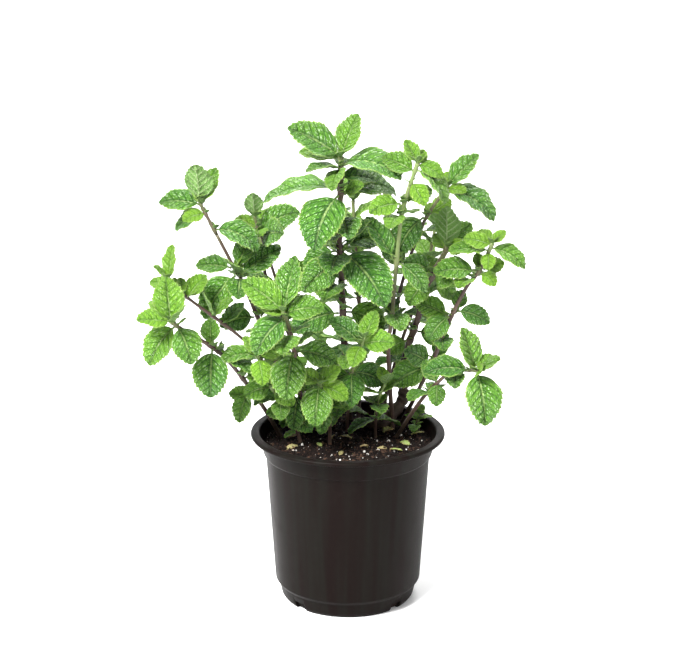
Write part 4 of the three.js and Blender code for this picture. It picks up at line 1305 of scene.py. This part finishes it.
def litter_material():
    """Fallen leaves: straw to yellow-green, browner at the edge, with pale veins and dry blotches."""
    shader = Shader("dry_leaf_skin")
    phase, across, _ = shader.split(shader.attribute("blade"))
    _, chance, _ = shader.split(shader.attribute("tone"))
    side = shader.math("ABSOLUTE", across)
    edge = shader.math("ABSOLUTE", shader.math("SUBTRACT", shader.math("FRACT", phase), 0.5))
    blotch = shader.noise(shader.object_place(), 320.0, 4.0, 0.65)
    colour = shader.mix(chance, LITTER_STRAW, LITTER_GREEN)
    colour = shader.mix(shader.ramp(blotch, 0.50, 0.72, 0.0, 0.8), colour, LITTER_ROT)
    colour = shader.mix(shader.ramp(side, 0.7, 1.0, 0.0, 0.6), colour, LITTER_EDGE)
    vein = shader.math("MAXIMUM", shader.ramp(edge, 0.38, 0.46), shader.ramp(side, 0.12, 0.04))
    colour = shader.mix(shader.math("MULTIPLY", vein, 0.5), colour, LITTER_VEIN)
    shader.bump(blotch, 0.0008, 0.8)
    rough = shader.ramp(blotch, 0.3, 0.7, 0.55, 0.75)
    return shader.set(Base_Color=colour, Roughness=rough, Specular_IOR_Level=0.4)


def make_litter(settings):
    """Fallen leaves, lying on the soil at the places in LITTER: (x, y, heading, length)."""
    rng = np.random.default_rng(31)
    patches = Patches()
    for x, y, heading, length in LITTER:
        base = np.array([x, y, float(soil_height(np.array(x), np.array(y))) + 1.6])
        leaf = dict(
            heading=heading, rise=rng.uniform(0, 16), length=length, width=length * rng.uniform(0.42, 0.6),
            droop=rng.uniform(5, 40), roll=rng.uniform(-25, 25), base=base,
        )
        add_leaf(patches, leaf, 1.0, settings, rng)
    return place(patches.build("fallen_leaves", litter_material()), "potting_mix")


CROWN_SIDES = 22


def make_crown(settings):
    """The rootstock: a tube of uneven girth, pushed out by low knobs."""
    patches = Patches()
    points = axis_points(CROWN_WAY, np.linspace(0, 1, 70))
    share = np.linspace(0, 1, 70)
    lumps = 0.12 * np.sin(share * 31) * np.sin(share * 17 + 1)
    radii = CROWN_GIRTH / 2 * (1.0 + lumps - 0.25 * np.clip(share - 0.8, 0, 1))
    tube, quads, caps = sweep(points, radii, 2.2, CROWN_SIDES)
    x, y, z = tube.T
    knob = 0.5 * ripple(x + z, y - z, 8, 3, 9)
    middle = np.vstack([np.repeat(points, CROWN_SIDES, axis=0), points[:1], points[-1:]])
    tube = tube + unit(tube - middle + 1e-9) * knob[:, None]
    patches.add(tube, quads, caps)
    return place(patches.build("rootstock_wood", wood_material(settings)), "woody_stem", "woody_crown")


def make_stubs(settings):
    """The trimmed stubs: short tubes of one girth."""
    material = wood_material(settings)
    pieces = []
    for index, way in enumerate(STUBS):
        patches = Patches()
        points = axis_points(way, np.linspace(0, 1, 24))
        tube, quads, caps = sweep(points, np.full(24, STUB_GIRTH / 2), 3.0)
        patches.add(tube, quads, caps)
        piece = patches.build(f"trimmed_stub_{index + 1}_wood", material)
        pieces.append(place(piece, "woody_stem", f"cut_stub_{index + 1}"))
    return pieces


# ---- the plant ----------------------------------------------------------------------------------
def corners_of(node):
    """The corners of a frame node's mesh, in millimetres."""
    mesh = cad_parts[node].data
    flat = np.zeros(len(mesh.vertices) * 3, np.float32)
    mesh.vertices.foreach_get("co", flat)
    return flat.reshape(-1, 3).astype(float) / MM


def tip_start(way, leaves):
    """The place along a shoot where its growing tip begins, just under the tip's lowest leaf."""
    return min(row[0] for row in leaves[0]) - TIP_LEAD / axis_length(way)


def youth_of(place_on, length):
    """0 for a grown leaf, 1 for a small one at the tip."""
    return float(np.clip(0.15 + 0.75 * (place_on - 0.55) + 0.9 * (26 - length) / 26, 0, 1))


def add_bud(patches, way, heading, place_on, size, settings, rng, pairs=2):
    """A bud or a tuft: small pairs of leaves, each pair turned a quarter, steeper and smaller inwards."""
    stem = axis_points(way, [place_on])[0]
    for pair in range(pairs):
        for half in range(2):
            length = size * (1 - 0.3 * pair) * rng.uniform(0.85, 1.1)
            turn = heading + 90 * pair + 180 * half + rng.uniform(-15, 15)
            rise = 45 + 18 * pair + rng.uniform(-8, 8)
            leaf = dict(
                heading=turn, rise=rise, length=length, width=length * 0.55, droop=15.0,
                roll=rng.uniform(-15, 15), base=stem,
            )
            add_leaf(patches, leaf, 0.95, settings, rng)


def make_shoots(leaf_settings, stem_settings):
    """Every shoot: its stem, its groups of leaves with small buds at their nodes, and its growing tip."""
    leaf_skin, bark = leaf_material(leaf_settings), stem_material(stem_settings)
    for number, (name, girth, way, leaves) in enumerate(SHOOTS):
        rng = np.random.default_rng(100 + number)
        start = tip_start(way, leaves)
        young = start < YOUNG_SHARE
        pale = 1.0 if name in PALE_SHOOTS or young else 0.0
        nodes = [row[0] for group in leaves for row in group]
        if not young:
            stalk = Patches()
            add_stalk(stalk, way, 0, start, girth, nodes, stem_settings, pale, rooted=ROOTED)
            piece = stalk.build(f"{name}_stem_bark", bark)
            place(piece, "green_stem" if name in PALE_SHOOTS else "brown_stem", f"{name}_stem")
        for index, group in enumerate(leaves):
            label = "" if young else ("_tip" if index == 0 else f"_leaves_{index}")
            reach = 0.0 if index == 0 else girth * 0.6 + GAP + COLLAR_WALL / 2
            patches = Patches()
            if index == 0:
                foot = (0, ROOTED) if young else (start, 0.0)
                add_stalk(
                    patches, way, foot[0], 1, girth, nodes, stem_settings, pale, rooted=foot[1], skin=1
                )
                add_bud(patches, way, group[0][1] + 45, 1.0, 9.0, leaf_settings, rng, 3)
            corners = corners_of(name + label)
            for row in group:
                leaf = grown_leaf(row, way, reach, corners)
                add_leaf(patches, leaf, youth_of(row[0], leaf["length"]), leaf_settings, rng)
            for place_on in sorted({row[0] for row in group if row[0] < 0.93}):
                size = rng.uniform(5.0, 10.5)
                turn = group[0][1] + rng.uniform(30, 60)
                add_bud(patches, way, turn, place_on, size, leaf_settings, rng, 1)
            piece = patches.build(f"{name}{label or '_shoot'}_foliage", leaf_skin, bark)
            place(piece, "mint_leaf", name + label)


# ---- stage --------------------------------------------------------------------------------------
def soft_light(name, where, target, size, power):
    """A round area light that stands at where and shines at target."""
    lamp = bpy.data.lights.new(name, "AREA")
    lamp.shape, lamp.size, lamp.energy = "DISK", size, power
    piece = bpy.data.objects.new(name, lamp)
    bpy.context.scene.collection.objects.link(piece)
    piece.location = where
    ray = np.asarray(target, float) - np.asarray(where, float)
    lean = math.atan2(math.hypot(ray[0], ray[1]), -ray[2])
    piece.rotation_euler = (lean, 0.0, math.atan2(ray[1], ray[0]) - math.pi / 2)
    return piece


def make_sweep(settings):
    """The studio sweep: a level floor that curves up, over a quarter circle, into an upright backdrop."""
    turn = np.linspace(0, np.pi / 2, 40)
    bend = np.stack([1.6 + 1.2 * np.sin(turn), 1.2 - 1.2 * np.cos(turn)], -1)
    run = np.vstack([[-5.0, 0.0], bend, [2.8, 5.0]])
    across = np.array([-6.0, 6.0])
    points = np.stack([
        np.broadcast_to(across, (len(run), 2)), np.repeat(run[:, :1], 2, 1), np.repeat(run[:, 1:], 2, 1)
    ], -1)
    patches = Patches()
    patches.add(points / MM, grid_faces(len(run), 2)[:, ::-1])
    shader = Shader("pale_floor")
    speck = shader.noise(shader.object_place(), 9.0, 2.0)
    colour = shader.mix(speck, tuple(settings.floor), tuple(0.985 * c for c in settings.floor))
    finish = shader.set(Base_Color=colour, Roughness=0.85, Specular_IOR_Level=0.2)
    floor = patches.build("studio_sweep", finish)
    return floor


def make_stage(settings):
    """The floor, the white surround, the four soft lights and the camera."""
    scene = bpy.context.scene
    make_sweep(settings)
    world = bpy.data.worlds.new("white_surround")
    world.use_nodes = True
    sky = world.node_tree.nodes["Background"]
    sky.inputs["Color"].default_value = (1.0, 1.0, 1.0, 1.0)
    sky.inputs["Strength"].default_value = settings.sky
    scene.world = world
    middle = (0.0, 0.0, 0.2)
    soft_light("key_light", (-0.75, -0.85, 1.45), middle, 0.75, settings.key)
    soft_light("fill_light", (1.2, -0.8, 0.7), middle, 0.9, settings.fill)
    soft_light("back_light", (0.3, 1.0, 1.3), middle, 0.7, settings.fill)
    soft_light("backdrop_light", (0.0, 0.9, 2.2), (0.0, 2.6, 0.9), 1.6, settings.backdrop)
    camera = bpy.data.cameras.new("camera")
    camera.lens, camera.sensor_width, camera.sensor_fit = settings.lens, 36.0, "HORIZONTAL"
    camera.clip_end = 50.0
    eye = bpy.data.objects.new("camera", camera)
    scene.collection.objects.link(eye)
    eye.location = settings.camera_place
    eye.rotation_euler = (math.pi / 2 - settings.camera_tilt, 0.0, 0.0)
    scene.camera = eye
    scene.view_settings.view_transform = "Standard"


# ---- operators, panel and registration ----------------------------------------------------------
class MINT_OT_pot(bpy.types.Operator):
    """Make the moulded nursery pot with its rim, band, foot and drain slots"""

    bl_idname = "mint.pot"
    bl_label = "Nursery pot"

    def execute(self, context):
        make_pot(context.scene.mint_pot)
        return {"FINISHED"}


class MINT_OT_soil(bpy.types.Operator):
    """Make the potting mix with its crumbs, fibres and perlite"""

    bl_idname = "mint.soil"
    bl_label = "Potting mix"

    def execute(self, context):
        make_soil(context.scene.mint_soil)
        make_perlite(context.scene.mint_soil)
        make_litter(context.scene.mint_leaf)
        return {"FINISHED"}


class MINT_OT_rootstock(bpy.types.Operator):
    """Make the woody rootstock and the trimmed stubs"""

    bl_idname = "mint.rootstock"
    bl_label = "Rootstock"

    def execute(self, context):
        make_crown(context.scene.mint_stem)
        make_stubs(context.scene.mint_stem)
        return {"FINISHED"}


class MINT_OT_shoots(bpy.types.Operator):
    """Make every shoot: its square stem, its pairs of leaves and its growing tip"""

    bl_idname = "mint.shoots"
    bl_label = "Shoots"

    def execute(self, context):
        make_shoots(context.scene.mint_leaf, context.scene.mint_stem)
        return {"FINISHED"}


class MINT_OT_stage(bpy.types.Operator):
    """Make the floor, the lights and the camera"""

    bl_idname = "mint.stage"
    bl_label = "Stage"

    def execute(self, context):
        make_stage(context.scene.mint_stage)
        return {"FINISHED"}


class MINT_PT_panel(bpy.types.Panel):
    """Lists the pieces and their settings"""

    bl_label = "Potted mint"
    bl_idname = "MINT_PT_panel"
    bl_space_type = "VIEW_3D"
    bl_region_type = "UI"
    bl_category = "Potted mint"

    def draw(self, context):
        for operator, settings in PIECES:
            self.layout.operator(operator.bl_idname)
            group = getattr(context.scene, settings)
            for key in group.__annotations__:
                self.layout.prop(group, key)


PIECES = (
    (MINT_OT_pot, "mint_pot"),
    (MINT_OT_soil, "mint_soil"),
    (MINT_OT_rootstock, "mint_stem"),
    (MINT_OT_shoots, "mint_leaf"),
    (MINT_OT_stage, "mint_stage"),
)
SETTINGS = {
    "mint_leaf": LeafSettings,
    "mint_stem": StemSettings,
    "mint_pot": PotSettings,
    "mint_soil": SoilSettings,
    "mint_stage": StageSettings,
}


def register():
    """Adds the settings, the operators and the panel."""
    for group in SETTINGS.values():
        bpy.utils.register_class(group)
    for operator, _ in PIECES:
        bpy.utils.register_class(operator)
    bpy.utils.register_class(MINT_PT_panel)
    for key, group in SETTINGS.items():
        setattr(bpy.types.Scene, key, bpy.props.PointerProperty(type=group))


def unregister():
    """Takes them out again, in the other order."""
    for key in SETTINGS:
        delattr(bpy.types.Scene, key)
    bpy.utils.unregister_class(MINT_PT_panel)
    for operator, _ in reversed(PIECES):
        bpy.utils.unregister_class(operator)
    for group in reversed(list(SETTINGS.values())):
        bpy.utils.unregister_class(group)


def main():
    """Makes every piece."""
    register()
    bpy.ops.mint.pot()
    bpy.ops.mint.soil()
    bpy.ops.mint.rootstock()
    bpy.ops.mint.shoots()
    bpy.ops.mint.stage()


if __name__ == "__main__":
    main()
